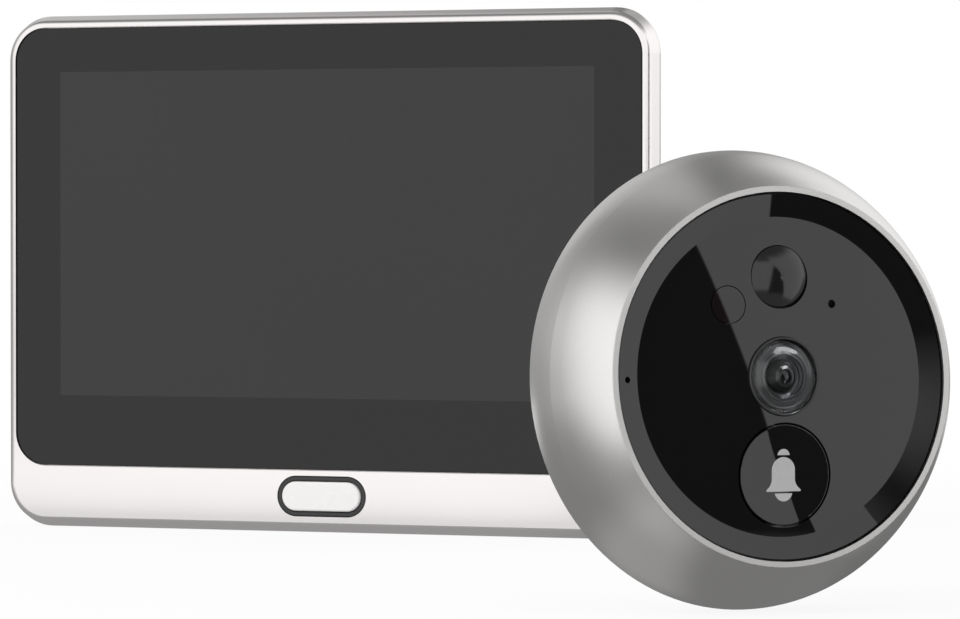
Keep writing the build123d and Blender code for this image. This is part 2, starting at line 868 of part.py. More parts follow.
def power_switch_body():
    """The slide switch's housing, with the track that its lever runs in."""
    depth, thick, wide = switch_size
    place = (-(port_block_inside - switch_sink - depth / 2), switch_middle)
    body = slab(depth, wide, board_back, board_back + thick, place)
    front, back, half = switch_slot_place()
    play = plunger_play
    inner = port_block_inside - switch_sink - slider_hold - play
    track = side_hole(
        front - play,
        back + play,
        switch_middle - half - play,
        switch_middle + half + play,
        inner,
        port_block_inside,
    )
    return body - track


def power_switch_slider():
    """The lever of the power switch, at the lower end of its travel."""
    front, back, half = switch_slot_place()
    low = switch_middle - half
    inner = port_block_inside - switch_sink - slider_hold
    outer = port_block_inside + slider_reach
    lever = side_hole(front, back, low, low + slider_size[1], inner, outer)
    return fillet(lever.edges().group_by(Axis.X)[0].filter_by(Axis.Y), slider_edge)


def monitor_speaker():
    """A flat loudspeaker: basket, raised magnet and a shallow cone towards its slots."""
    back = inner_back - speaker_gasket_thickness
    front = back - speaker_thickness
    place = (0, speaker_middle)
    outline = Pos(*place) * SlotOverall(*speaker_size)
    wide, high, thick = speaker_magnet
    basket = prism(outline, front + thick, back)
    basket += slab(wide, high, front, front + thick, place, speaker_magnet_corner)
    hollow = Pos(*place) * SlotOverall(speaker_size[0] - 2 * speaker_rim, speaker_size[1] - 2 * speaker_rim)
    return basket - prism(hollow, back - speaker_cone_depth, back)


def speaker_gasket():
    """The foam ring between the loudspeaker and the rear cover."""
    hollow = SlotOverall(speaker_size[0] - 2 * speaker_rim, speaker_size[1] - 2 * speaker_rim)
    outline = SlotOverall(*speaker_size) - hollow
    return prism(Pos(0, speaker_middle) * outline, inner_back - speaker_gasket_thickness, inner_back)


def button_ring():
    """The black surround of the front button."""
    ring = button_outline(button_ring_reach - button_play / 2) - button_outline(button_play)
    body = prism(ring, 0, ledge_back)
    return chamfer(body.edges().group_by(Axis.Y)[0], button_ring_edge)


def button_cap():
    """The front button: a proud pill with a retaining flange behind the bar."""
    flange_front = ledge_back + button_flange_gap
    pill = prism(button_outline(), -button_proud, flange_front)
    pill = fillet(pill.edges().group_by(Axis.Y)[0], button_edge)
    flange = button_outline(button_flange_overlap)
    return pill + prism(flange, flange_front, flange_front + button_flange_thickness)


def button_switch_front():
    """The face of the push switch behind the front button."""
    return button_board_front - button_switch_size[1]


def button_plunger():
    """The push switch's pin, which rests on the button's back."""
    start = ledge_back + button_flange_gap + button_flange_thickness
    return rod(plunger_radius, start, button_switch_front() + plunger_sink, (0, button_middle))


def button_switch():
    """The push switch's case, with the well for its pin."""
    front = button_switch_front()
    place = (0, button_middle)
    case = slab(button_switch_size[0], button_switch_size[2], front, button_board_front, place)
    well_end = front + plunger_sink + button_travel + plunger_play
    return case - rod(plunger_radius + plunger_play, front, well_end, place)


def button_board():
    """The small board behind the bar, held on two melted stakes."""
    back = button_board_front + button_board_thickness
    board = slab(*button_board_size, button_board_front, back, (0, button_board_middle), button_board_corner)
    for place in stakes:
        board -= rod(stake_radius + plunger_play, button_board_front, back, place)
    return board


def monitor_microphone():
    """The monitor's microphone, on the back of the small board."""
    front = button_board_front + button_board_thickness
    place = (microphone_offset, button_board_middle)
    return slab(microphone_size[0], microphone_size[2], front, front + microphone_size[1], place)


def shell_section(inset, front):
    """The half section of the domed housing, drawn in by inset: rear edge, shoulder and crown."""
    turn = radians(shoulder_angle)
    shoulder_centre = camera_radius - shoulder_radius
    joint = Vector(shoulder_centre + shoulder_radius * cos(turn), -shoulder_radius * sin(turn))
    outward = Vector(cos(turn), -sin(turn))
    rim = Vector(rim_radius, -rim_height)
    chord = rim - joint
    crown_radius = chord.length**2 / (-2 * chord.dot(outward))
    crown_centre = joint - outward * crown_radius
    rim_normal = (rim - crown_centre).normalized()
    middle_normal = (rim_normal + outward).normalized()

    def crown(normal):
        point = crown_centre + normal * (crown_radius - inset)
        return (point.X, point.Y)

    def shoulder(angle):
        reach = shoulder_radius - inset
        return (shoulder_centre + reach * cos(angle), -reach * sin(angle))

    rear = (rear_edge_radius - inset, rear_edge_depth)
    widest = shoulder(0)
    edges = [
        Line((0, rear_edge_depth), rear),
        Line(rear, widest),
        ThreePointArc(widest, shoulder(turn / 2), shoulder(turn)),
        ThreePointArc(crown(outward), crown(middle_normal), crown(rim_normal)),
        Line(crown(rim_normal), (0, crown(rim_normal)[1])),
        Line((0, crown(rim_normal)[1]), (0, rear_edge_depth)),
    ]
    return turned(*edges) & rod(camera_radius + cut_overrun, front, rear_edge_depth)


def camera_housing():
    """The metal shell: a shoulder and a crown in one sweep, a front lip, a ledge and rear vents."""
    body = shell_section(0, -rim_height)
    lip = body.edges().filter_by(GeomType.CIRCLE).group_by(Axis.Y)[0]
    body = fillet(lip, rim_break)
    body -= shell_section(housing_wall, housing_ledge_back)
    body -= rod(panel_radius + panel_gap, -rim_height, housing_ledge_front)
    body -= rod(ledge_radius, housing_ledge_front, housing_ledge_back)
    body -= rod(edge_hole_radius, housing_ledge_front, housing_ledge_back, edge_hole_place)
    first = -(vent_count - 1) / 2
    for step in range(vent_count):
        slot = Box(*vent_size, 2 * (camera_radius - rear_edge_radius + housing_wall))
        place = Pos(0, vent_depth, -(rear_edge_radius + camera_radius) / 2)
        body -= Rot(0, (first + step) * vent_angle, 0) * place * slot
    return body


def panel_blank(back, radius=panel_radius):
    """The panel before its holes: bevelled edge, sloping ring, valley and shallow dome."""
    half = valley_radius / 2
    crown = (half, -rim_height + cap_height(dome_radius, half))
    edges = [
        Line((0, back), (radius, back)),
        Line((radius, back), (radius, panel_edge_front + panel_edge_break)),
        Line((radius, panel_edge_front + panel_edge_break), (radius - panel_edge_break, panel_edge_front)),
        Line((radius - panel_edge_break, panel_edge_front), (valley_radius, valley_front)),
        ThreePointArc((valley_radius, valley_front), crown, (0, -rim_height)),
        Line((0, -rim_height), (0, back)),
    ]
    return turned(*edges)


def front_panel():
    """The black front panel, with its holes for the lens, sensors, bell and microphone."""
    front = -rim_height - cut_overrun
    panel = panel_blank(panel_back)
    panel -= rod(lens_hole_radius, front, panel_back)
    panel -= rod(motion_hole_radius, front, panel_back, (0, motion_lift))
    panel -= rod(bell_hole_radius, front, panel_back, (0, bell_lift))
    panel -= rod(voice_hole_radius, front, panel_back, voice_hole_place)
    panel -= rod(edge_hole_radius, front, panel_back, edge_hole_place)
    step = window_back()
    panel -= rod(window_hole_radius, front, step, window_place)
    panel -= rod(window_hole_radius - window_ledge, step, panel_back, window_place)
    return panel


def window_back():
    """The depth of the small ledge that carries the light window."""
    return -rim_height + cap_height(dome_radius, hypot(*window_place)) + window_thickness


def light_window():
    """The dark round window over the infrared lamp, flush with the domed panel."""
    radius = window_hole_radius - window_gap
    return panel_blank(panel_back) & rod(radius, -rim_height - cut_overrun, window_back(), window_place)


def panel_seal():
    """The seal between the panel and the housing's ledge."""
    ring = tube(ledge_radius + panel_seal_width, ledge_radius, panel_back, housing_ledge_front)
    return ring - rod(edge_hole_radius, panel_back, housing_ledge_front, edge_hole_place)


def lens_ring():
    """The thin ring round the lens, standing a little proud of the panel."""
    outer = lens_hole_radius - lens_ring_gap
    front = -rim_height - lens_ring_proud
    ring = tube(outer, outer - lens_ring_width, front, panel_back)
    return chamfer(ring.edges().filter_by(GeomType.CIRCLE).group_by(Axis.Y)[0], lens_ring_edge)


def lens_cover():
    """The clear domed cover of the lens, a thin bowl open towards the barrel."""
    edge = lens_hole_radius - lens_ring_gap - lens_ring_width - lens_ring_gap
    base = -rim_height
    sag = lens_cover_proud
    outer = dome(edge, base, sag)
    inner_radius = ball_radius(edge, sag) - lens_cover_thickness
    centre = Pos(0, base - sag + ball_radius(edge, sag), 0)
    rim = tube(edge, edge - lens_cover_thickness, base, base + lens_shelf_drop)
    return outer - centre * Sphere(inner_radius) + rim


def lens_barrel():
    """The lens barrel: stepped shelf and cone at the front, threaded body and square foot behind."""
    shelf = -rim_height + lens_shelf_drop
    nose = -rim_height - lens_nose_proud
    foot = -lens_base
    points = [
        (lens_bore_radius, foot),
        (lens_barrel_radius, foot),
        (lens_barrel_radius, shelf),
        (lens_nose_base_radius + lens_step_width, shelf),
        (lens_nose_base_radius + lens_step_width, shelf - lens_step_height),
        (lens_nose_base_radius, shelf - lens_step_height),
        (lens_nose_base_radius - lens_step_width, shelf - 2 * lens_step_height),
        (lens_nose_radius, nose),
        (lens_front_radius + lens_front_play, nose),
        (lens_front_radius + lens_front_play, nose + lens_front_seat),
        (lens_bore_radius, nose + lens_front_stop),
    ]
    barrel = revolve(make_face(Polyline(*points, close=True)), axis=Axis.Y)
    collar = tube(lens_barrel_thread_radius, lens_barrel_radius, chassis_back, foot)
    side = 2 * lens_barrel_thread_radius
    well = image_sensor_size + 2 * image_sensor_gap
    base = slab(side, side, foot, camera_board_face, corner=lens_foot_corner)
    return barrel + collar + base - slab(well, well, foot, camera_board_face)


def lens_front_element():
    """The bulging first lens of the barrel."""
    nose = -rim_height - lens_nose_proud
    body = rod(lens_front_radius, nose, nose + lens_front_seat)
    return body + dome(lens_front_radius, nose, lens_front_sag)


def lens_rear_element():
    """The last lens of the barrel, close to the image sensor."""
    start = -lens_base - lens_rear_lift
    return rod(lens_rear_radius, start, start + lens_rear_thickness)


def image_sensor():
    """The image sensor on the camera board, under the lens."""
    return slab(
        image_sensor_size, image_sensor_size, camera_board_face - image_sensor_thickness, camera_board_face
    )


def motion_lens():
    """The domed cover of the motion sensor, hollow behind, with a flange under the panel."""
    radius = motion_hole_radius - motion_gap
    base = -rim_height + motion_base_drop
    inside_radius = radius - motion_wall
    outer = dome(radius, base, motion_sag) + rod(radius, base, panel_back)
    outer += rod(motion_flange_radius, panel_back, panel_back + motion_flange_thickness)
    inner = dome(inside_radius, base + motion_wall / 2, motion_inner_sag)
    inner += rod(inside_radius, base + motion_wall / 2, panel_back + motion_flange_thickness)
    return Pos(0, 0, motion_lift) * (outer - inner)


def motion_sleeve():
    """The black sleeve that holds the sensor under its domed cover."""
    inner = motion_can_radius + through_gap
    start = panel_back + motion_flange_thickness
    return tube(inner + motion_sleeve_wall, inner, start, camera_board_face, (0, motion_lift))


def motion_sensor():
    """The round metal sensor can with its small square window."""
    top = camera_board_face - motion_can_height
    place = (0, motion_lift)
    can = rod(motion_can_radius, top, camera_board_face, place)
    can = fillet(can.edges().filter_by(GeomType.CIRCLE).group_by(Axis.Y)[0], motion_can_edge)
    return can - slab(*motion_window, top, top + motion_window_depth, place)


def infrared_lamp():
    """A round lamp on the chassis behind the light window, with two leads to the board."""
    front = chassis_front - led_height
    lamp = rod(led_radius, front + led_radius, chassis_front)
    lamp += dome(led_radius, front + led_radius, led_sag)
    for side in (-1, 1):
        lamp += rod(led_lead_radius, chassis_front, camera_board_face, (side * led_lead_spread, 0))
    return Pos(window_place[0], 0, window_place[1]) * lamp


def camera_microphone():
    """The microphone capsule behind its small hole in the panel."""
    return rod(voice_capsule_radius, panel_back, panel_back + voice_capsule_thickness, voice_hole_place)


def half_disc(width, height, base, up=1):
    """A segment of a disc on a flat base, standing up or hanging down."""
    left = (-width / 2, base)
    right = (width / 2, base)
    return make_face([Line(left, right), ThreePointArc(right, (0, base + up * height), left)])


def bell_outline():
    """The common bell sign: a crest, a body with a flared foot, and a clapper."""
    half, height = symbol_body[0] / 2, symbol_body[1]
    foot = symbol_base_width / 2
    low = -height / 2 + (symbol_clapper[1] - symbol_crest[1]) / 2
    top = low + height
    shoulder = top - half
    waist = low + symbol_flare
    edge = low + symbol_base_edge
    bend = (half + (foot - half) * symbol_flare_bend[0], edge + (waist - edge) * symbol_flare_bend[1])
    edges = [
        Line((-foot, low), (foot, low)),
        Line((foot, low), (foot, edge)),
        ThreePointArc((foot, edge), bend, (half, waist)),
        Line((half, waist), (half, shoulder)),
        ThreePointArc((half, shoulder), (0, top), (-half, shoulder)),
        Line((-half, shoulder), (-half, waist)),
        ThreePointArc((-half, waist), (-bend[0], bend[1]), (-foot, edge)),
        Line((-foot, edge), (-foot, low)),
    ]
    crest = half_disc(*symbol_crest, top + symbol_gap)
    clapper = half_disc(*symbol_clapper, low - symbol_gap, up=-1)
    return Pos(0, bell_lift) * (make_face(edges) + crest + clapper)


def bell_symbol():
    """The clear light guides in the button that show the bell sign."""
    surface = -rim_height + bell_recess + cap_height(dome_radius, bell_lift) + bell_dish_depth
    return bell_blank() & prism(bell_outline(), -rim_height - cut_overrun, surface + symbol_depth)


def bell_cap():
    """The bell button, with the wells for its sign."""
    return bell_blank() - bell_symbol()


def bell_blank():
    """The bell button before its sign: it follows the panel's dome, with a dish for the finger."""
    place = (0, bell_lift)
    cap = Pos(0, bell_recess, 0) * panel_blank(bell_flange_front) & rod(
        bell_radius, -rim_height - cut_overrun, bell_flange_front, place
    )
    tilt = asin(-bell_lift / dome_radius)
    surface = -rim_height + bell_recess + cap_height(dome_radius, bell_lift)
    dish = ball_radius(bell_dish_radius, bell_dish_depth)
    reach = dish - bell_dish_depth
    cap -= Pos(0, surface - reach * cos(tilt), bell_lift - reach * sin(tilt)) * Sphere(dish)
    cap += rod(bell_flange_radius, bell_flange_front, bell_flange_back, place)
    return cap + rod(bell_stem_radius, bell_flange_back, bell_plunger_front, place)


def bell_plunger():
    """The pin of the bell's push switch, under the button's stem."""
    end = bell_plunger_front + bell_plunger_height
    return rod(bell_plunger_radius, bell_plunger_front, end, (0, bell_lift))


def bell_switch():
    """The bell's push switch on the camera board, with the well for its pin."""
    place = (0, bell_lift)
    case = slab(bell_switch_side, bell_switch_side, bell_switch_front, camera_board_face, place)
    case = chamfer(case.edges().filter_by(Axis.Y), bell_switch_corner)
    well_end = bell_plunger_front + bell_plunger_height + bell_travel + plunger_play
    return case - rod(bell_plunger_radius + plunger_play, bell_switch_front, well_end, place)


def bell_seal():
    """The rubber disc that keeps rain out round the bell's stem, seated in the chassis."""
    end = chassis_front + bell_seal_thickness
    return tube(bell_seal_radius, bell_seal_bore, chassis_front, end, (0, bell_lift))


def camera_chassis():
    """The plastic plate behind the panel: it locates every sensor and carries the screw posts."""
    radius = panel_radius + chassis_gap
    plate = rod(radius, chassis_front, chassis_back)
    cut = through_gap
    plate -= rod(lens_barrel_radius + cut, chassis_front, chassis_back)
    sleeve = motion_can_radius + motion_sleeve_wall + 2 * cut
    plate -= rod(sleeve, chassis_front, chassis_back, (0, motion_lift))
    plate -= rod(bell_seal_radius + cut, chassis_front, chassis_front + bell_seal_thickness, (0, bell_lift))
    plate -= rod(bell_stem_radius + cut, chassis_front, chassis_back, (0, bell_lift))
    for side in (-1, 1):
        lead = (window_place[0] + side * led_lead_spread, window_place[1])
        plate -= rod(led_lead_radius + cut, chassis_front, chassis_back, lead)
    for place in chassis_posts:
        plate += rod(chassis_post_radius, chassis_back, back_plate_front, place)
        plate -= rod(small_screw_radius + screw_clearance, chassis_front, back_plate_front, place)
    for place in board_posts:
        plate += rod(chassis_post_radius, chassis_back, camera_board_face, place)
        plate -= rod(small_screw_radius + screw_clearance, chassis_front, camera_board_face, place)
    return plate


def camera_board():
    """The round camera board, notched round the chassis posts."""
    board = rod(camera_board_radius, camera_board_face, camera_board_back)
    for place in chassis_posts:
        board -= rod(chassis_post_radius + through_gap, camera_board_face, camera_board_back, place)
    for place in board_posts:
        board -= rod(small_screw_radius + screw_clearance, camera_board_face, camera_board_back, place)
    return board


def camera_speaker():
    """The round loudspeaker between the chassis and the board."""
    end = camera_board_face
    start = end - camera_speaker_thickness
    magnet = rod(camera_magnet_radius, end - camera_magnet_height, end, camera_speaker_place)
    basket = rod(camera_speaker_radius, start, end - camera_magnet_height, camera_speaker_place)
    cone = rod(camera_cone_radius, start, start + camera_cone_depth, camera_speaker_place)
    return basket + magnet - cone


def back_plate():
    """The plate that closes the housing, with holes for the stem and its screws."""
    radius = rear_edge_radius - housing_wall - back_plate_gap
    plate = rod(radius, back_plate_front, back_plate_back)
    plate -= rod(stem_radius + through_gap, back_plate_front, back_plate_back)
    for place in chassis_posts:
        plate -= rod(small_screw_radius + screw_clearance, back_plate_front, back_plate_back, place)
        plate -= rod(
            small_head_radius + screw_clearance, back_plate_back - small_head_height, back_plate_back, place
        )
    return plate


def foam_pad():
    """The foam ring that seals the camera against the door."""
    outer = rear_edge_radius - housing_wall - back_plate_gap - pad_edge
    return tube(outer, pad_inner_radius, back_plate_back, pad_back)


def door_stem():
    """The stem that passes through the door: flange inside, cable bore and two insert holes."""
    flange_front = back_plate_front - stem_flange_thickness
    stem = rod(stem_flange_radius, flange_front, back_plate_front)
    stem += rod(stem_radius, back_plate_front, stem_end)
    stem = chamfer(stem.edges().filter_by(GeomType.CIRCLE).group_by(Axis.Y)[-1], stem_edge)
    stem -= rod(stem_bore_radius, flange_front, stem_end)
    for place in inserts:
        stem -= rod(insert_radius, stem_end - insert_length, stem_end, place)
        relief = stem_end - insert_length - insert_relief_length
        stem -= rod(insert_relief_radius, relief, stem_end - insert_length, place)
    return stem


def stem_inserts():
    """Two brass thread inserts in the stem's end."""
    start = stem_end - insert_length
    return Compound([tube(insert_radius, insert_thread_radius, start, stem_end, place) for place in inserts])


def cable_grommet():
    """The rubber grommet where the lead leaves the stem."""
    return tube(stem_bore_radius, grommet_bore_radius, stem_end - grommet_length, stem_end)


def monitor_nodes():
    """Every piece of the monitor, by name, in the monitor's own frame."""
    return {
        "monitor_front_frame": front_frame(),
        "screen_gasket": screen_gasket(),
        "screen_glass": screen_glass(),
        "screen_panel": prism(module_outline(), glass_back, cell_back),
        "screen_backlight": prism(module_outline(), cell_back, carrier_front),
        "screen_carrier": screen_carrier(),
        "carrier_screws": screws(
            carrier_screws,
            carrier_back,
            small_head_radius,
            small_head_height,
            small_screw_radius,
            ledge_back + screw_run_out,
        ),
        "monitor_button": button_cap(),
        "monitor_button_pin": button_plunger(),
        "monitor_button_ring": button_ring(),
        "monitor_button_switch": button_switch(),
        "monitor_button_board": button_board(),
        "monitor_microphone": monitor_microphone(),
        "monitor_main_board": main_board(),
        "main_board_screws": screws(
            board_screws,
            board_back,
            small_head_radius,
            small_head_height,
            small_screw_radius,
            carrier_back + screw_run_out,
        ),
        "processor_shield": processor_shield(),
        "battery_pack": battery_pack(),
        "wifi_antenna": antenna(),
        "camera_cable_socket": cable_socket(),
        "charge_socket": charge_socket(),
        "card_socket": card_socket(),
        "power_switch_body": power_switch_body(),
        "power_switch_slider": power_switch_slider(),
        "monitor_speaker": monitor_speaker(),
        "monitor_speaker_gasket": speaker_gasket(),
        "monitor_rear_cover": rear_cover(),
        "rear_cover_screws": screws(
            cover_screws,
            monitor_depth - counterbore_depth,
            cover_head_radius,
            cover_head_height,
            cover_screw_radius,
            carrier_back + screw_run_out,
        ),
    }


def camera_nodes():
    """Every piece of the camera, by name, in the camera's own frame."""
    return {
        "camera_housing": camera_housing(),
        "camera_front_panel": front_panel(),
        "front_panel_seal": panel_seal(),
        "lens_ring": lens_ring(),
        "lens_cover": lens_cover(),
        "lens_barrel": lens_barrel(),
        "lens_front_element": lens_front_element(),
        "lens_rear_element": lens_rear_element(),
        "image_sensor": image_sensor(),
        "motion_sensor_lens": motion_lens(),
        "motion_sensor_sleeve": motion_sleeve(),
        "motion_sensor": motion_sensor(),
        "light_window": light_window(),
        "infrared_lamp": infrared_lamp(),
        "camera_microphone": camera_microphone(),
        "bell_button": bell_cap(),
        "bell_symbol": Compound(bell_symbol().solids()),
        "bell_switch_pin": bell_plunger(),
        "bell_switch": bell_switch(),
        "bell_seal": bell_seal(),
        "camera_chassis": camera_chassis(),
        "camera_board": camera_board(),
        "camera_board_screws": screws(
            board_posts,
            camera_board_back,
            small_head_radius,
            small_head_height - screw_run_out,
            small_screw_radius,
            chassis_front + screw_run_out,
        ),
        "camera_speaker": camera_speaker(),
        "camera_back_plate": back_plate(),
        "back_plate_screws": screws(
            chassis_posts,
            back_plate_back - small_head_height,
            small_head_radius,
            small_head_height - screw_clearance,
            small_screw_radius,
            chassis_front + screw_run_out,
        ),
        "door_foam_pad": foam_pad(),
        "door_stem": door_stem(),
        "stem_thread_inserts": stem_inserts(),
        "cable_grommet": cable_grommet(),
    }


camera_place = (
    Pos(camera_offset_x, camera_offset_y, camera_radius * cos(radians(camera_lean)))
    * Rot(0, 0, camera_turn)
    * Rot(-camera_lean, 0, 0)
)
nodes = monitor_nodes()
nodes.update({name: camera_place * shape for name, shape in camera_nodes().items()})
footprint = Compound([nodes["monitor_front_frame"], nodes["monitor_rear_cover"]]).bounding_box()
camera_box = Compound([nodes["camera_housing"], nodes["door_stem"]]).bounding_box()
low_x = min(footprint.min.X, camera_box.min.X)
high_x = max(footprint.max.X, camera_box.max.X)
low_y = min(footprint.min.Y, camera_box.min.Y)
high_y = max(footprint.max.Y, camera_box.max.Y)
to_origin = Pos(-(low_x + high_x) / 2, -(low_y + high_y) / 2, 0)

if __name__ == "__main__":
    os.makedirs("parts", exist_ok=True)
    for name, shape in nodes.items():
        export_step(to_origin * shape, f"parts/{name}.step")
    print("pieces", len(nodes), "footprint", round(high_x - low_x, 2), "by", round(high_y - low_y, 2))
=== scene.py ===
# %% [markdown]
# # A door camera in two units
# An indoor monitor stands behind a round outdoor camera. The construction comes ready made, with every
# piece at its real size. What is added here is what the eye sees: a camera, a studio, a finish for
# each piece, and a few pieces that are modelled finer than a machine shop would need them.
# The model is loaded first, and its box is kept, because nothing added later may reach outside it.

# %% Load the model
import json
from math import asin, cos, degrees, pi, radians, sin, tan
import bpy
from mathutils import Matrix, Vector


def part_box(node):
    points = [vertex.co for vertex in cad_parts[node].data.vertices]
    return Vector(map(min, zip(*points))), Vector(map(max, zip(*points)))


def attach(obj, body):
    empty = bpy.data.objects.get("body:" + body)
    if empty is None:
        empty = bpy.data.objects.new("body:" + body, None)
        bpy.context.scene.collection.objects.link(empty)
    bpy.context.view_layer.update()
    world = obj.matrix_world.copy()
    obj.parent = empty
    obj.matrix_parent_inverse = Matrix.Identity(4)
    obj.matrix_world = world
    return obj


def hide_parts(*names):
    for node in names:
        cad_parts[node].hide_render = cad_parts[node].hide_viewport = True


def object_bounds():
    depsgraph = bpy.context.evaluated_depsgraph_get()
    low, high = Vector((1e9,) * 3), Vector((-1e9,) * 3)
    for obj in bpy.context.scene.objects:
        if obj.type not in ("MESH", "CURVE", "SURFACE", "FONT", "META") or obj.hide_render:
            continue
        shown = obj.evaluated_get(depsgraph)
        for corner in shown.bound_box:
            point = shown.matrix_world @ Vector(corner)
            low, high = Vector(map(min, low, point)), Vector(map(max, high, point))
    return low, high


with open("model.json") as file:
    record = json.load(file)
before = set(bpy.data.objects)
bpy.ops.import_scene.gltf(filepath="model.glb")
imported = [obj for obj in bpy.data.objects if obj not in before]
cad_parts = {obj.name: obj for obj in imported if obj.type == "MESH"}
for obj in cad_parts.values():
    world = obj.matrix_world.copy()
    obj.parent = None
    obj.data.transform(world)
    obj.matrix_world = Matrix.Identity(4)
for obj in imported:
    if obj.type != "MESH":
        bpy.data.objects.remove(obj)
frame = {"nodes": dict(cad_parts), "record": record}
cad_low, cad_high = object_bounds()
mm = 0.001
nodes = frame["nodes"]
size = [round((high - low) / mm, 1) for low, high in zip(cad_low, cad_high)]
print("loaded", len(nodes), "pieces, over all", size, "mm")

# %% [markdown]
# ## The camera
# The photograph was taken with a long lens from a little above the table, to the right of the
# monitor's front. A long lens from far away keeps the round unit round. The place is given in
# metres from the middle of the pair, and the camera looks almost level.

# %% Place the camera
camera_place = Vector((292.62, -700.70, 50.91)) * mm
camera_heading = radians(21.74)
camera_pitch = radians(-0.978)
camera_lens = 192.6
sensor_width = 36.0
camera_clip = (0.05, 20.0)


def add_camera():
    """The view of the photograph: the heading turns to the left of the monitor's own front."""
    data = bpy.data.cameras.new("photo_camera")
    data.lens = camera_lens
    data.sensor_width = sensor_width
    data.clip_start, data.clip_end = camera_clip
    camera = bpy.data.objects.new("photo_camera", data)
    camera.location = camera_place
    camera.rotation_euler = (pi / 2 + camera_pitch, 0.0, camera_heading)
    bpy.context.scene.collection.objects.link(camera)
    bpy.context.scene.camera = camera
    return camera


photo_camera = add_camera()
bpy.context.scene.view_settings.view_transform = "Standard"
print("camera at", tuple(round(v, 3) for v in photo_camera.location), "lens", camera_lens)

# %% [markdown]
# ## Maths on sockets
# A material is a sum of small patterns. Written as nodes it is hard to read, so one class lets a
# node's output take part in Python's own arithmetic, and each operator adds a Math node. A second
# class has the one method that makes any other node: it sets it up first and then joins its sockets.

# %% A socket that can be added, multiplied and compared
class Value:
    """A number that varies over a surface: a socket that takes part in sums."""

    def __init__(self, mixer, socket):
        self.mixer = mixer
        self.socket = socket

    def __add__(self, other):
        return self.mixer.maths("ADD", self, other)

    def __radd__(self, other):
        return self.mixer.maths("ADD", other, self)

    def __sub__(self, other):
        return self.mixer.maths("SUBTRACT", self, other)

    def __rsub__(self, other):
        return self.mixer.maths("SUBTRACT", other, self)

    def __mul__(self, other):
        return self.mixer.maths("MULTIPLY", self, other)

    def __rmul__(self, other):
        return self.mixer.maths("MULTIPLY", other, self)

    def __truediv__(self, other):
        return self.mixer.maths("DIVIDE", self, other)

    def __pow__(self, other):
        return self.mixer.maths("POWER", self, other)

    def __mod__(self, other):
        return self.mixer.maths("FLOORED_MODULO", self, other)

    def __abs__(self):
        return self.mixer.maths("ABSOLUTE", self)

    def most(self, other):
        return self.mixer.maths("MAXIMUM", self, other)

    def ramp(self, low, high):
        """0 below low, 1 above high and a soft rise between them."""
        settings = {"interpolation_type": "SMOOTHSTEP"}
        sockets = {"Value": self, "From Min": low, "From Max": high}
        return self.mixer.node("ShaderNodeMapRange", settings, sockets, "Result")

    def rises(self, place, soft):
        """0 before place and 1 after it, with a step that is soft wide."""
        return (self - place).ramp(-soft / 2, soft / 2)

    def between(self, low, high, soft):
        """1 from low to high and 0 outside, with steps that are soft wide."""
        return self.rises(low, soft) * (1.0 - self.rises(high, soft))

    def repeats(self, pitch):
        """The distance to the nearest of many lines that lie a pitch apart."""
        return abs((self + pitch / 2) % pitch - pitch / 2)


class Mixer:
    """A node tree being filled."""

    def __init__(self, tree):
        self.tree = tree
        tree.nodes.clear()

    def node(self, kind, settings=None, sockets=None, output=0):
        """Any node: its settings first, then the values or links of its sockets. Gives one output."""
        made = self.tree.nodes.new(kind)
        for name, setting in (settings or {}).items():
            if name == "stops":
                self.set_stops(made.color_ramp, setting)
            else:
                setattr(made, name, setting)
        for name, value in (sockets or {}).items():
            if isinstance(value, Value):
                self.tree.links.new(value.socket, made.inputs[name])
            else:
                made.inputs[name].default_value = value
        if len(made.outputs) == 0:
            return made
        return Value(self, made.outputs[output])

    def set_stops(self, ramp, stops):
        """The stops of a colour ramp, each a place and a grey or a colour."""
        while len(ramp.elements) < len(stops):
            ramp.elements.new(1.0)
        for element, (place, tone) in zip(ramp.elements, stops):
            element.position = place
            element.color = colour(tone)

    def maths(self, operation, *values):
        return self.node("ShaderNodeMath", {"operation": operation}, dict(enumerate(values)))

    def vector(self, operation, *values, output=0):
        return self.node("ShaderNodeVectorMath", {"operation": operation}, dict(enumerate(values)), output)

    def blend(self, share, first, second):
        """Two colours, mixed by a share."""
        sockets = {0: share, 6: colour(first), 7: colour(second)}
        return self.node("ShaderNodeMix", {"data_type": "RGBA"}, sockets, 2)

    def split(self, vector):
        """The three parts of a vector as values."""
        parts = self.node("ShaderNodeSeparateXYZ", {}, {0: vector}).socket.node.outputs
        return [Value(self, part) for part in parts]

    def join(self, x, y, z):
        return self.node("ShaderNodeCombineXYZ", {}, {0: x, 1: y, 2: z})

    def light_path(self, *rays):
        """1 for a ray of any of the named kinds, 0 for the others."""
        kinds = self.node("ShaderNodeLightPath").socket.node.outputs
        found = Value(self, kinds[rays[0]])
        for ray in rays[1:]:
            found = found.most(Value(self, kinds[ray]))
        return found


def colour(tone):
    """A grey given as one number, or red, green and blue, as a full colour. A socket stays as it is."""
    if isinstance(tone, Value):
        return tone
    if isinstance(tone, (int, float)):
        tone = (tone, tone, tone)
    return (*tone[:3], 1.0)


def new_material(name):
    material = bpy.data.materials.new(name)
    material.use_nodes = True
    return material, Mixer(material.node_tree)


print("socket maths ready")

# %% [markdown]
# ## The round unit's own frame
# The round unit is turned to its right and leans back a little. Everything that is modelled on it, or
# patterned round its axis, is thought of in its own frame: X to the right as seen from its front, Y
# from front to back, Z up, in millimetres from the middle of its widest circle.

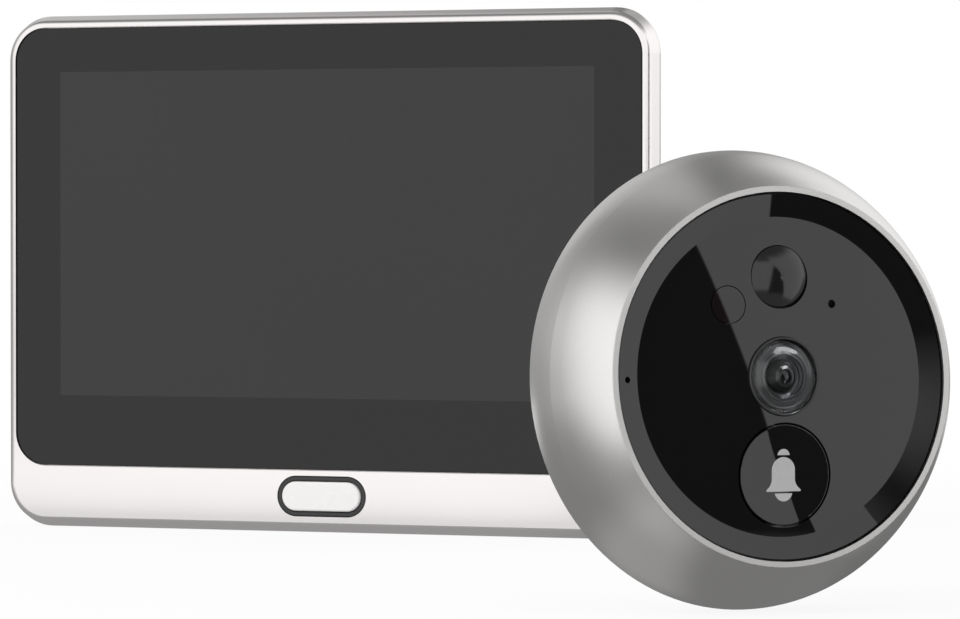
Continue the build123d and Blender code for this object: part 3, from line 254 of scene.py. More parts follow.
# %% Where the round unit stands
unit_middle = Vector((73.8226, -60.999, 30.1437))
unit_turn = radians(47.1)
unit_lean = radians(-3.5)
unit_rotation = Matrix.Rotation(unit_turn, 4, "Z") @ Matrix.Rotation(unit_lean, 4, "X")
unit_place = Matrix.Translation(unit_middle * mm) @ unit_rotation @ Matrix.Scale(mm, 4)
rim_height = 12.93
panel_middle = unit_place @ Vector((0.0, -rim_height, 0.0))
print("middle of the front panel at", tuple(round(v / mm, 1) for v in panel_middle), "mm")

# %% [markdown]
# ## The studio
# The photograph has a pure white ground, and satin metal and black gloss show nothing but what stands
# around them. So the world has two jobs. The camera sees plain white. Polished surfaces see a studio:
# a large soft box in front on the left, a lower one in front on the right, a third that reaches from
# the right round to the back, and before it a black flag, whose slanting edge cuts the hard dark
# shape into the glossy panel.
# The studio is written as one sum over a direction, its heading and its rise in degrees, so that the
# world and the floor can both use it and meet without a seam. Heading 0 is the front, and it grows
# to the right. An edge is a place and how soft it is; a range is two places and how soft both are.
# Diffuse surfaces get an even light, at which a colour looks about as it is written.

# %% What stands around, as a sum over a direction
grey_level = 0.30
below, above, everywhere = -200.0, 200.0, (-90.0, 450.0, 10.0)
wall_tones = [
    {"tone": 0.10, "around": everywhere, "rise": (8.0, 34.0, 20.0)},
    {"tone": -0.10, "around": everywhere, "rise": (52.0, above, 24.0)},
    {"tone": -0.09, "around": (260.0, 310.0, 14.0), "rise": (below, -14.0, 12.0)},
    {"tone": 0.20, "around": (206.0, 246.0, 10.0), "rise": (20.0, above, 20.0)},
    {"tone": -0.14, "around": (150.0, 208.0, 12.0), "rise": (below, -8.0, 10.0)},
    {"tone": -0.14, "around": (194.0, 210.0, 8.0), "rise": (0.0, above, 16.0)},
]
late_tones = [
    {"tone": 0.11, "around": (268.0, 330.0, 24.0), "rise": (-66.0, -44.0, 12.0)},
    {"tone": -0.08, "around": (274.0, 322.0, 20.0), "rise": (42.0, 62.0, 12.0)},
    {"tone": 0.07, "around": (222.0, 272.0, 20.0), "rise": (62.0, above, 10.0)},
]
left_box = {"near": (-52.0, 18.0), "far": (6.0, 24.0), "low": (-25.0, 22.0), "high": (41.0, 26.0)}
front_box = {"near": (4.0, 10.0), "far": (49.0, 8.0), "slope": -0.3, "rise": (-16.0, 37.0, 8.0)}
right_box = {"far": (190.0, 10.0), "high": (43.0, 16.0), "low": -24.0, "back_low": 2.0, "low_soft": 8.0}
right_box.update(back=(122.0, 26.0), dimmed=0.12, dimmed_past=(150.0, 30.0))
flag = {"level": 0.04, "edge": (74.6, 0.35), "slope": 0.36, "bend": 15.0, "rise": (-20.0, 23.0, 6.0)}
flag_behind = (175.0, 300.0, 4.0)
under_level = 0.19
under_edge = (-58.0, 16.0)


def add_tones(light, tones, around, rise):
    """The light with a list of tones added, each within its own range of directions."""
    for tone in tones:
        light = light + tone["tone"] * around.between(*tone["around"]) * rise.between(*tone["rise"])
    return light


def lay_over(light, level, share):
    """The light with an even level laid over it, as far as share says."""
    return light + (level - light) * share


def studio_light(mixer, direction):
    """The light from a direction: grey walls, three soft boxes and a black flag."""
    x, y, z = mixer.split(mixer.vector("NORMALIZE", direction))
    heading = mixer.maths("ARCTAN2", x, 0.0 - y) * degrees(1.0)
    rise = mixer.maths("ARCSINE", z) * degrees(1.0)
    around = heading % 360.0
    light = add_tones(grey_level, wall_tones, around, rise)
    slanted = heading + flag["slope"] * rise
    left = slanted.rises(*left_box["near"]) * (1.0 - heading.rises(*left_box["far"]))
    left = left * rise.rises(*left_box["low"]) * (1.0 - rise.rises(*left_box["high"]))
    light = lay_over(light, 1.0, left)
    past_edge = (slanted + flag["slope"] * (rise - flag["bend"]).most(0.0)).rises(*flag["edge"])
    past_edge = past_edge.most(around.between(*flag_behind))
    right = past_edge * (1.0 - around.rises(*right_box["far"]))
    low = right_box["low"] + (right_box["back_low"] - right_box["low"]) * around.rises(*right_box["back"])
    right = right * (rise - low).rises(0.0, right_box["low_soft"]) * (1.0 - rise.rises(*right_box["high"]))
    right_full = 1.0 - right_box["dimmed"] * around.rises(*right_box["dimmed_past"])
    light = light + (right_full - light).most(0.0) * right
    past_front = (heading + front_box["slope"] * rise).rises(*front_box["far"])
    front = heading.rises(*front_box["near"]) * (1.0 - past_front) * rise.between(*front_box["rise"])
    light = lay_over(light, 1.0, front)
    light = lay_over(light, flag["level"], past_front * (1.0 - past_edge) * rise.between(*flag["rise"]))
    light = lay_over(light, under_level, 1.0 - rise.rises(*under_edge))
    return add_tones(light, late_tones, around, rise)


print("studio with a flag edge at heading", flag["edge"][0], "degrees")

# %% The world
ambient_level = 0.78


def add_world():
    """White to the camera, a studio to polished surfaces, and an even light to all others."""
    world = bpy.data.worlds.new("studio")
    world.use_nodes = True
    bpy.context.scene.world = world
    mixer = Mixer(world.node_tree)
    studio = studio_light(mixer, mixer.node("ShaderNodeTexCoord", output="Object"))
    seen = mixer.light_path("Is Camera Ray", "Is Transmission Ray")
    polished = mixer.light_path("Is Glossy Ray")
    strength = ambient_level + (1.0 - ambient_level) * seen
    strength = strength * (1.0 - polished) + studio * polished
    shader = mixer.node("ShaderNodeBackground", {}, {"Color": colour(1.0), "Strength": strength})
    mixer.node("ShaderNodeOutputWorld", {}, {"Surface": shader})
    return world


add_world()
print("world ready, diffuse level", ambient_level)

# %% [markdown]
# ## The floor and the lamp
# The floor is white and keeps a faint shadow. Polished surfaces see on it what the studio has in that
# direction, seen from the middle of the round unit's panel, so the flag and the soft boxes reach down
# onto it. At a grazing look the sheet in front of the monitor is plain white, and so is one patch at
# its foot: they are what its flat front reflects. One large lamp in front on the left shapes the
# diffuse surfaces. Polished ones see the soft boxes instead. A second, smaller lamp lights no surface
# and is only seen through glass: it is the photographer's catch light in the lens.

# %% Floor and lamp
floor_radius = 6.0
floor_near_white = 0.9
floor_fade = (0.16, 0.42)
floor_tone = 0.9
patch_low = Vector((-190.0, -62.0)) * mm
patch_high = Vector((-8.0, 46.0)) * mm
patch_soft = 20.0 * mm
grazing_from = 0.89
grazing_full = 0.935
monitor_front = 69.4
mirror_slant = 0.404
mirror_spread = 0.12
mirror_left = -0.118
mirror_right = 0.034
lamp_aim = Vector((0.0, 0.0, 0.04))
lamps = {
    "key_lamp": {"place": (-0.55, -0.75, 0.7), "size": (0.7, 0.5), "power": 4.6},
    "catch_light": {"place": (0.38, 0.02, 0.41), "size": (0.5, 0.2), "power": 2.6},
}


def add_floor():
    """A white sheet, whose shaded part shows through a little so that the shadow stays."""
    bpy.ops.object.select_all(action="DESELECT")
    bpy.ops.mesh.primitive_circle_add(
        vertices=96, radius=floor_radius, fill_type="NGON", location=(0, 0, 0)
    )
    floor = bpy.context.object
    floor.name = "floor_sheet"
    material, mixer = new_material("floor_white")
    place = mixer.node("ShaderNodeTexCoord", output="Object")
    x, y, _ = mixer.split(place)
    away = mixer.vector("LENGTH", place, output="Value")
    studio = studio_light(mixer, mixer.vector("SUBTRACT", place, tuple(panel_middle)))
    patch = x.between(patch_low.x, patch_high.x, patch_soft)
    patch = patch * y.between(patch_low.y, patch_high.y, patch_soft)
    facing = mixer.node("ShaderNodeLayerWeight", {}, {"Blend": 0.5}, "Facing")
    ahead = monitor_front * mm - y
    aside = x + ahead * mirror_slant
    in_mirror = (aside + ahead * mirror_spread).rises(mirror_left, patch_soft)
    in_mirror = in_mirror * (1.0 - (aside - ahead * mirror_spread / 2).rises(mirror_right, patch_soft))
    grazing = facing.ramp(grazing_from, grazing_full) * in_mirror
    studio = studio.most(patch).most(grazing)
    polished = mixer.light_path("Is Glossy Ray")
    seen = mixer.light_path("Is Camera Ray", "Is Transmission Ray")
    white = (floor_near_white + (1.0 - floor_near_white) * away.ramp(*floor_fade)) * seen
    diffuse = mixer.node("ShaderNodeBsdfDiffuse", {}, {"Color": colour(floor_tone)})
    level = 1.0 - polished * (1.0 - studio)
    glow = mixer.node("ShaderNodeEmission", {}, {"Color": colour(1.0), "Strength": level})
    mixed = mixer.node("ShaderNodeMixShader", {}, {0: white.most(polished), 1: diffuse, 2: glow})
    mixer.node("ShaderNodeOutputMaterial", {}, {"Surface": mixed})
    floor.data.materials.append(material)
    return floor


def add_lamp(name, place, size, power):
    """A soft rectangular lamp that polished surfaces don't see."""
    data = bpy.data.lights.new(name, "AREA")
    data.shape = "RECTANGLE"
    data.size, data.size_y = size
    data.energy = power
    lamp = bpy.data.objects.new(name, data)
    lamp.location = place
    lamp.rotation_euler = (lamp_aim - lamp.location).to_track_quat("-Z", "Y").to_euler()
    lamp.visible_glossy = False
    bpy.context.scene.collection.objects.link(lamp)
    return lamp


floor_sheet = add_floor()
made_lamps = {name: add_lamp(name, **lamp) for name, lamp in lamps.items()}
made_lamps["catch_light"].visible_diffuse = False
made_lamps["catch_light"].visible_camera = False
print("stage:", floor_sheet.name, *made_lamps)

# %% [markdown]
# ## Patterns in millimetres
# A finish looks real when its pattern has its true size, so every pattern is drawn in millimetres from
# the piece's own place. A cloudy grain breaks up a tone, round pebbles make the skin of a mould, a
# foil or a foam, and a bump turns a pattern into relief. One function then makes a finish from the
# sockets that vary and from those that are the same all over.

# %% Place, grain, pebbles and relief
finishes = {}


def surface_place(mixer):
    """Where a point of the piece lies, in millimetres."""
    return mixer.vector("MULTIPLY", mixer.node("ShaderNodeTexCoord", output="Object"), (1 / mm,) * 3)


def in_unit(mixer, place):
    """The same place in the round unit's own frame."""
    turn = tuple(unit_rotation.to_euler())
    sockets = {"Vector": place, "Location": tuple(unit_middle), "Rotation": turn}
    return mixer.node("ShaderNodeMapping", {"vector_type": "TEXTURE"}, sockets)


def grain(mixer, place, width, detail=2.0):
    """A cloudy pattern from 0 to 1, whose clouds are about that wide."""
    return mixer.node("ShaderNodeTexNoise", {}, {"Vector": place, "Scale": 1.0 / width, "Detail": detail})


def pebbles(mixer, place, width, feature="F1"):
    """Round cells about that wide: the distance from the middle of each, as a share of the width."""
    return mixer.node("ShaderNodeTexVoronoi", {"feature": feature}, {"Vector": place, "Scale": 1.0 / width})


def relief(mixer, height, depth):
    """A pattern from 0 to 1 as relief of that depth in millimetres."""
    return mixer.node("ShaderNodeBump", {}, {"Height": height, "Distance": depth * mm, "Strength": 1.0})


def add_finish(name, paint, **fixed):
    """A finish: paint gives the sockets that vary with the place, fixed those that don't."""
    material, mixer = new_material(name)
    sockets = {key.replace("_", " "): value for key, value in fixed.items()}
    sockets.update(paint(mixer, surface_place(mixer)))
    shader = mixer.node("ShaderNodeBsdfPrincipled", {}, sockets)
    mixer.node("ShaderNodeOutputMaterial", {}, {"Surface": shader})
    finishes[name] = material
    return material


print("patterns ready")

# %% [markdown]
# ## Satin silver
# The monitor's frame and the round housing are both satin silver: cast metal, blasted with fine beads
# and lacquered. The frame is the smoother one, so the soft boxes show on its bevel as sharp bands,
# and the housing's glow is wider. Both vary a little in tone, and have beads a tenth of a millimetre
# wide in their relief. The flat lip round the black panel is faced on a lathe and stays duller.

# %% Frame and housing
bead_width = 0.13
lip_depth = 0.08


def paint_frame(mixer, place):
    beads = grain(mixer, place, bead_width, 3.0)
    cloud = grain(mixer, place, 16.0, 1.0)
    return {
        "Base Color": mixer.blend(cloud, (0.975, 0.945, 0.938), (0.990, 0.960, 0.953)),
        "Roughness": 0.20 + 0.05 * cloud + 0.05 * beads,
        "Normal": relief(mixer, beads, 0.0012),
    }


def paint_housing(mixer, place):
    beads = grain(mixer, place, bead_width, 3.0)
    flakes = pebbles(mixer, place, 0.09)
    cloud = grain(mixer, place, 9.0, 1.0)
    tone = mixer.blend(cloud, (0.872, 0.858, 0.848), (0.900, 0.887, 0.877))
    tone = mixer.blend(flakes.ramp(0.35, 0.75), tone, (0.94, 0.925, 0.915))
    lip = (0.0 - mixer.split(in_unit(mixer, place))[1]).rises(rim_height - lip_depth, lip_depth)
    return {
        "Base Color": mixer.blend(lip, tone, (0.78, 0.77, 0.76)),
        "Roughness": 0.25 + 0.05 * cloud + 0.05 * beads + 0.22 * lip,
        "Normal": relief(mixer, beads, 0.0022),
    }


add_finish("frame_finish", paint_frame, Metallic=1.0)
add_finish("housing_metal", paint_housing, Metallic=1.0)
print("finishes so far:", len(finishes))

# %% [markdown]
# ## Cover glass and screen
# The glass is printed dark grey behind. The unlit screen shows through a window in the print as a
# slightly lighter rectangle. Its place follows from the glass's own box and the widths of the border.
# The layers behind it are only seen when the monitor is taken apart: the cell with its fine columns,
# and the white tray of the backlight.

# %% Glass, cell and backlight
glass_low, glass_high = [corner / mm for corner in map(Vector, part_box("screen_glass"))]
border_side = 8.15
border_top = 7.35
border_bottom = 11.7
print_edge = 0.06
cell_pitch = 0.33
dot_pitch = 1.6


def paint_glass(mixer, place):
    x, _, z = mixer.split(place)
    window = x.between(glass_low.x + border_side, glass_high.x - border_side, print_edge)
    window = window * z.between(glass_low.z + border_bottom, glass_high.z - border_top, print_edge)
    cloud = grain(mixer, place, 22.0, 2.0)
    lit = mixer.blend(cloud, (0.0172, 0.0170, 0.0168), (0.0186, 0.0184, 0.0184))
    return {
        "Base Color": mixer.blend(window, 0.0032, lit),
        "Roughness": 0.012 + 0.018 * cloud.ramp(0.35, 0.75),
    }


def paint_cell(mixer, place):
    x, _, z = mixer.split(place)
    column = x.repeats(cell_pitch).ramp(0.05, 0.11)
    row = z.repeats(cell_pitch).ramp(0.02, 0.05)
    return {
        "Base Color": mixer.blend(column * row, 0.012, (0.05, 0.052, 0.058)),
        "Roughness": 0.16 + 0.1 * grain(mixer, place, 3.0),
    }


def paint_tray(mixer, place):
    x, _, z = mixer.split(place)
    dots = (x.repeats(dot_pitch) ** 2.0 + z.repeats(dot_pitch) ** 2.0).ramp(0.06, 0.16)
    return {
        "Base Color": mixer.blend(dots, (0.62, 0.63, 0.65), (0.78, 0.78, 0.79)),
        "Roughness": 0.3 + 0.1 * grain(mixer, place, 1.4),
        "Normal": relief(mixer, dots, 0.02),
    }


add_finish("cover_glass", paint_glass, IOR=1.5)
add_finish("screen_layer", paint_cell)
add_finish("backlight_tray", paint_tray, Metallic=0.5)
print("glass", [round(v, 1) for v in glass_high - glass_low], "mm")

# %% [markdown]
# ## Moulded plastics
# A mould is spark-eroded, which leaves a skin of small craters on the plastic. The rear cover's are
# the coarsest. The chassis, the back plate and the stem are black and finer, and the stem has the
# faint rings of its turned mould. The button's cap and the ring round it come from polished moulds.

# %% Plastics
stem_ring_pitch = 0.5


def paint_moulded(width, depth, dark, light, rough):
    """A plastic with craters of that width and depth, from a dark tone in them to a light one: the dark
    tone is painted shade.
    """

    def paint(mixer, place):
        craters = pebbles(mixer, place, width, "SMOOTH_F1")
        fine = grain(mixer, place, width / 3, 3.0)
        skin = craters * 0.7 + fine * 0.3
        return {
            # Darker in the craters: painted shade.
            "Base Color": mixer.blend(skin.ramp(0.1, 0.8), dark, light),
            "Roughness": rough + 0.14 * skin,
            "Normal": relief(mixer, skin, depth),
        }

    return paint


def paint_button(mixer, place):
    cloud = grain(mixer, place, 2.5, 1.0)
    return {
        "Base Color": mixer.blend(cloud, (0.945, 0.928, 0.922), (0.965, 0.950, 0.944)),
        "Roughness": 0.24 + 0.06 * cloud,
        "Normal": relief(mixer, grain(mixer, place, 0.2), 0.0006),
    }


def paint_polished(mixer, place):
    cloud = grain(mixer, place, 1.5)
    return {
        "Base Color": mixer.blend(cloud, 0.022, (0.036, 0.036, 0.038)),
        "Roughness": 0.1 + 0.1 * cloud,
        "Normal": relief(mixer, grain(mixer, place, 0.25), 0.001),
    }


def paint_stem(mixer, place):
    _, depth, _ = mixer.split(in_unit(mixer, place))
    rings = depth.repeats(stem_ring_pitch).ramp(0.02, 0.16)
    skin = grain(mixer, place, 0.35, 3.0)
    return {
        "Base Color": mixer.blend(skin, 0.05, 0.085),
        "Roughness": 0.42 + 0.16 * skin,
        "Normal": relief(mixer, rings * 0.5 + skin * 0.5, 0.02),
    }


add_finish("cover_plastic", paint_moulded(0.42, 0.035, (0.80, 0.795, 0.79), (0.885, 0.88, 0.875), 0.40))
add_finish("chassis_plastic", paint_moulded(0.3, 0.02, 0.06, 0.10, 0.45))
add_finish("plate_plastic", paint_moulded(0.36, 0.03, 0.065, 0.12, 0.45))
add_finish("socket_black", paint_moulded(0.12, 0.008, 0.03, 0.06, 0.38))
add_finish("speaker_black", paint_moulded(0.16, 0.02, 0.04, 0.085, 0.5))
add_finish("stem_plastic", paint_stem)
add_finish("button_white", paint_button, Coat_Weight=0.25, Coat_Roughness=0.08)
add_finish("ring_black", paint_polished)
print("finishes so far:", len(finishes))

# %% [markdown]
# ## Black gloss
# The front panel is thick black acrylic. It mirrors the studio, so it needs a high index and hardly
# any roughness; what varies is the fine haze that wiping leaves. The bell button and the small window
# are of the same kind. The window passes invisible light and has a breath of red in its black. The
# motion sensor's cover is a softer polymer, so its mirror picture is a little blurred.

# %% Panel, bell, window and sensor cover
gloss_index = 1.63


def paint_gloss(tone, low, high):
    def paint(mixer, place):
        place = mixer.vector("MULTIPLY", place, (1.0, 0.35, 1.0))
        haze = grain(mixer, place, 6.0, 4.0)
        wiped = grain(mixer, place, 0.5, 2.0)
        return {
            "Base Color": mixer.blend(wiped, tone, tuple(1.25 * part for part in tone)),
            "Roughness": low + (high - low) * haze.ramp(0.3, 0.8),
        }

    return paint


def paint_sensor_cover(mixer, place):
    skin = grain(mixer, place, 0.8, 3.0)
    return {
        "Base Color": mixer.blend(skin, 0.006, 0.011),
        "Roughness": 0.09 + 0.05 * skin,
        "Normal": relief(mixer, skin, 0.004),
    }


def paint_mark(mixer, place):
    cloud = grain(mixer, place, 0.7, 3.0)
    return {
        "Base Color": mixer.blend(cloud, (0.45, 0.45, 0.455), (0.51, 0.51, 0.515)),
        "Roughness": 0.3 + 0.12 * cloud,
        "Normal": relief(mixer, grain(mixer, place, 0.12), 0.002),
    }


add_finish("panel_black", paint_gloss((0.004, 0.004, 0.0042), 0.0, 0.012), IOR=gloss_index)
add_finish("bell_black", paint_gloss((0.0045, 0.0045, 0.005), 0.004, 0.02), IOR=gloss_index)
add_finish("dark_window", paint_gloss((0.0060, 0.0035, 0.0040), 0.0, 0.012), IOR=gloss_index)
add_finish("sensor_cover", paint_sensor_cover, IOR=1.6)
add_finish("bell_mark", paint_mark)
print("finishes so far:", len(finishes))

# %% [markdown]
# ## Lens glass and black metal
# The lens has a clear domed cover over a black barrel. The glass carries a thin coating, which gives
# its edge a cool tint where the surface turns away. In the middle the coating leaves hardly any mirror
# picture, and outside it a clear coat mirrors the studio. The barrel is turned and anodised: fine
# grooves run round its axis, and a narrow line of each is painted lighter, a painted highlight where
# the crests catch the light.

# %% Clear pieces and the barrel
coated_radius = 3.1
coated_soft = 0.25
coated_index = 1.1
groove_pitch = 0.22


def paint_tinted(blend, middle, rim):
    """Clear glass with one tint where it faces the eye and another where it turns away."""

    def paint(mixer, _):
        edge = mixer.node("ShaderNodeLayerWeight", {}, {"Blend": blend}, "Facing")
        return {"Base Color": mixer.blend(edge, middle, rim)}

    return paint


def paint_cover(mixer, place):
    x, _, z = mixer.split(in_unit(mixer, place))
    radius = (x * x + z * z) ** 0.5
    tint = paint_tinted(0.35, (0.96, 0.97, 0.975), (0.80, 0.86, 0.93))(mixer, place)
    return {**tint, "Coat Weight": radius.rises(coated_radius, coated_soft)}


def paint_lamp(mixer, place):
    cloud = grain(mixer, place, 0.9)
    return {
        "Base Color": mixer.blend(cloud, (0.70, 0.72, 0.82), (0.84, 0.86, 0.92)),
        "Roughness": 0.05 + 0.08 * cloud,
    }


def paint_barrel(mixer, place):
    x, depth, z = mixer.split(in_unit(mixer, place))
    radius = (x * x + z * z) ** 0.5
    grooves = (radius + depth).repeats(groove_pitch).ramp(0.02, 0.09)
    skin = grain(mixer, place, 0.2, 3.0)
    return {
        # A narrow line of each groove is painted lighter: a painted highlight.
        "Base Color": mixer.blend(grooves, 0.10, (0.035, 0.035, 0.038)),
        "Roughness": 0.24 + 0.14 * skin,
        "Normal": relief(mixer, grooves, 0.02),
    }


def paint_dark_metal(mixer, place):
    skin = grain(mixer, place, 0.3, 2.0)
    return {"Base Color": mixer.blend(skin, 0.06, 0.09), "Roughness": 0.10 + 0.10 * skin}


def paint_inside(mixer, place):
    skin = grain(mixer, place, 0.15, 3.0)
    return {
        "Base Color": mixer.blend(skin, 0.006, 0.014),
        "Roughness": 0.42 + 0.2 * skin,
        "Normal": relief(mixer, skin, 0.01),
    }


clear = {"Transmission_Weight": 1.0, "Roughness": 0.0}
coat = {"Coat_IOR": 1.4, "Coat_Roughness": 0.0}
paint_clear = paint_tinted(0.35, (0.97, 0.98, 0.985), (0.80, 0.86, 0.93))
paint_coated = paint_tinted(0.4, (0.90, 0.92, 0.91), (0.80, 0.78, 0.85))
add_finish("lens_clear", paint_clear, IOR=1.5, **clear)
add_finish("lens_coated", paint_coated, IOR=coated_index, **clear)
add_finish("cover_clear", paint_cover, IOR=coated_index, **clear, **coat)
add_finish("lens_inside", paint_inside)
add_finish("lamp_clear", paint_lamp, Transmission_Weight=0.9, IOR=1.52)
add_finish("lens_metal", paint_barrel, Metallic=0.7)
add_finish("lens_satin", paint_dark_metal, Metallic=1.0)
print("finishes so far:", len(finishes))

# %% [markdown]
# ## Sheet steel, screws and brass
# The carrier is stamped from galvanised sheet, whose zinc freezes in large pale crystals over the fine
# lines of the rolling mill. Socket shells and the tin lid are brighter, with lines only. Screws are
# zinc plated, and the stem's thread inserts are knurled brass.

# %% Metals
crystal_scale = 0.28
knurl_pitch = 0.5


def paint_galvanised(mixer, place):
    sockets = {"Vector": place, "Scale": crystal_scale, "Randomness": 1.0}
    patch = mixer.split(mixer.node("ShaderNodeTexVoronoi", {"feature": "F1"}, sockets, "Color"))[0]
    rolled = grain(mixer, mixer.vector("MULTIPLY", place, (0.05, 1.0, 3.0)), 0.5, 3.0)
    return {
        "Base Color": mixer.blend(patch * 0.7 + rolled * 0.3, (0.50, 0.51, 0.53), (0.72, 0.73, 0.74)),
        "Roughness": 0.26 + 0.2 * patch,
        "Normal": relief(mixer, rolled, 0.003),
    }


def paint_rolled(mixer, place):
    rolled = grain(mixer, mixer.vector("MULTIPLY", place, (0.06, 1.0, 4.0)), 0.4, 3.0)
    return {
        "Base Color": mixer.blend(rolled, (0.70, 0.70, 0.69), (0.86, 0.86, 0.85)),
        "Roughness": 0.16 + 0.14 * rolled,
        "Normal": relief(mixer, rolled, 0.002),
    }


def paint_screw(mixer, place):
    turned = grain(mixer, place, 0.18, 3.0)
    tint = grain(mixer, place, 1.6, 1.0)
    return {
        "Base Color": mixer.blend(tint, (0.60, 0.62, 0.66), (0.70, 0.69, 0.62)),
        "Roughness": 0.22 + 0.18 * turned,
        "Normal": relief(mixer, turned, 0.006),
    }


def paint_brass(mixer, place):
    x, depth, z = mixer.split(in_unit(mixer, place))
    knurl = (depth + x).repeats(knurl_pitch).ramp(0.03, 0.2)
    knurl = knurl * (depth - x).repeats(knurl_pitch).ramp(0.03, 0.2)
    return {
        # The brass is darker in the knurl's grooves: painted shade.
        "Base Color": mixer.blend(knurl, (0.55, 0.38, 0.14), (0.84, 0.64, 0.30)),
        "Roughness": 0.22 + 0.16 * grain(mixer, mixer.join(x, depth, z), 0.5),
        "Normal": relief(mixer, knurl, 0.06),
    }


add_finish("stamped_steel", paint_galvanised, Metallic=1.0)
add_finish("socket_steel", paint_rolled, Metallic=1.0)
add_finish("screw_steel", paint_screw, Metallic=1.0)
add_finish("insert_brass", paint_brass, Metallic=1.0)
print("finishes so far:", len(finishes))

# %% [markdown]
# ## Boards, chips, battery and film
# A circuit board is green lacquer over copper: raised tracks that keep to a grid, and bare plated pads.
# The image sensor is a small mirror of fine cells with gold contacts round its edge. The battery is a
# crumpled foil pouch, and the aerial a film with a copper line that runs to and fro.

# %% Electronics
track_pitch = 1.27
chip_edge = (2.35, 2.4)
chip_cell = 0.12
contact_pitch = 0.55
aerial_turn = 2.2
aerial_row = 5.4


def paint_board(mixer, place):
    x, y, z = mixer.split(place)
    across = grain(mixer, mixer.vector("SNAP", place, (track_pitch * 3,) * 3), 2.0, 0.0)
    along_x = z.repeats(track_pitch).ramp(0.16, 0.22)
    along_z = (x + y).repeats(track_pitch).ramp(0.16, 0.22)
    choose = across.ramp(0.49, 0.51)
    track = 1.0 - (along_x * choose + along_z * (1.0 - choose))
    spot = ((x + y).repeats(track_pitch * 4) ** 2.0 + z.repeats(track_pitch * 4) ** 2.0) ** 0.5
    pad = 1.0 - spot.ramp(0.42, 0.48)
    lacquer = mixer.blend(track, (0.012, 0.085, 0.040), (0.035, 0.17, 0.075))
    return {
        "Base Color": mixer.blend(pad, lacquer, (0.80, 0.62, 0.30)),
        "Metallic": pad * 0.95,
        "Roughness": 0.32 - 0.08 * pad + 0.1 * grain(mixer, place, 1.1),
        "Normal": relief(mixer, track.most(pad), 0.03),
    }


def paint_chip(mixer, place):
    x, depth, z = mixer.split(in_unit(mixer, place))
    inside = (1.0 - abs(x).ramp(*chip_edge)) * (1.0 - abs(z).ramp(*chip_edge))
    cells = x.repeats(chip_cell).ramp(0.01, 0.03) * z.repeats(chip_cell).ramp(0.01, 0.03)
    contact = 1.0 - x.repeats(contact_pitch).ramp(0.12, 0.16) * z.repeats(contact_pitch).ramp(0.12, 0.16)
    die = mixer.blend(cells, (0.10, 0.07, 0.14), (0.05, 0.12, 0.20))
    frame_tone = mixer.blend(contact, (0.05, 0.05, 0.052), (0.75, 0.58, 0.26))
    return {
        "Base Color": mixer.blend(inside, frame_tone, die),
        "Metallic": contact * (1.0 - inside) * 0.9,
        "Roughness": 0.4 - 0.3 * inside + 0.02 * depth.repeats(1.0),
    }


def paint_foil(mixer, place):
    folds = pebbles(mixer, place, 5.0, "SMOOTH_F1")
    fine = grain(mixer, place, 0.8, 4.0)
    return {
        "Base Color": mixer.blend(fine, (0.66, 0.67, 0.69), (0.78, 0.79, 0.81)),
        "Roughness": 0.28 + 0.16 * fine,
        "Normal": relief(mixer, folds * 0.7 + fine * 0.3, 0.12),
    }


def paint_film(mixer, place):
    x, _, z = mixer.split(place)
    turns = x.repeats(aerial_turn).ramp(0.28, 0.34)
    rows = z.repeats(aerial_row).ramp(0.3, 0.36)
    line = 1.0 - turns * rows
    return {
        "Base Color": mixer.blend(line, (0.035, 0.030, 0.028), (0.72, 0.36, 0.20)),
        "Metallic": line * 0.9,
        "Roughness": 0.35 - 0.1 * line,
        "Normal": relief(mixer, line, 0.03),
    }


add_finish("board_green", paint_board)
add_finish("sensor_chip", paint_chip)
add_finish("battery_wrap", paint_foil, Metallic=0.85)
add_finish("antenna_film", paint_film)
print("finishes so far:", len(finishes))

# %% [markdown]
# ## Foam, tape and rubber
# Foam is cut through its bubbles, so its face is a field of small pits. Tape has the crossed threads
# of its backing, and rubber a dull and faintly dusty skin.

# %% Soft finishes
thread_pitch = 0.3


def paint_foam(mixer, place):
    bubbles = pebbles(mixer, place, 0.55).ramp(0.05, 0.6)
    small = pebbles(mixer, place, 0.2).ramp(0.05, 0.6)
    pits = bubbles * 0.7 + small * 0.3
    return {
        # Darker in the pits: painted shade.
        "Base Color": mixer.blend(pits, 0.016, (0.062, 0.061, 0.060)),
        "Roughness": 0.8 + 0.15 * pits,
        "Normal": relief(mixer, pits, 0.12),
    }


def paint_tape(mixer, place):
    x, _, z = mixer.split(place)
    threads = x.repeats(thread_pitch).ramp(0.02, 0.12) * z.repeats(thread_pitch).ramp(0.02, 0.12)
    return {
        "Base Color": mixer.blend(threads, 0.03, 0.07),
        "Roughness": 0.5 + 0.2 * threads,
        "Normal": relief(mixer, threads, 0.02),
    }


def paint_rubber(mixer, place):
    dust = grain(mixer, place, 1.2, 4.0)
    skin = grain(mixer, place, 0.15, 2.0)
    return {
        "Base Color": mixer.blend(dust.ramp(0.4, 0.8), 0.035, (0.075, 0.073, 0.070)),
        "Roughness": 0.6 + 0.2 * dust,
        "Normal": relief(mixer, skin, 0.008),
    }


add_finish("foam_black", paint_foam)
add_finish("tape_black", paint_tape)
add_finish("seal_rubber", paint_rubber)
print("finishes so far:", len(finishes))

# %% [markdown]
# ## Every piece gets its finish
# The record that comes with the frame says which slot each piece takes its finish from. The motion
# sensor's cover shares the panel's slot there, but has its own softer gloss here. The lens cover shares
# the slot of clear glass, and has its own coating here.

# %% Assign the finishes
own_finish = {"motion_sensor_lens": "sensor_cover", "lens_cover": "cover_clear"}
slot_of = {piece["node"]: piece["material_slot"] for piece in frame["record"]["subparts"]}
for name, node in nodes.items():
    node.data.materials.clear()
    node.data.materials.append(finishes[own_finish.get(name, slot_of[name])])
print("finishes on", len(nodes), "pieces from", len(set(slot_of.values())), "slots")

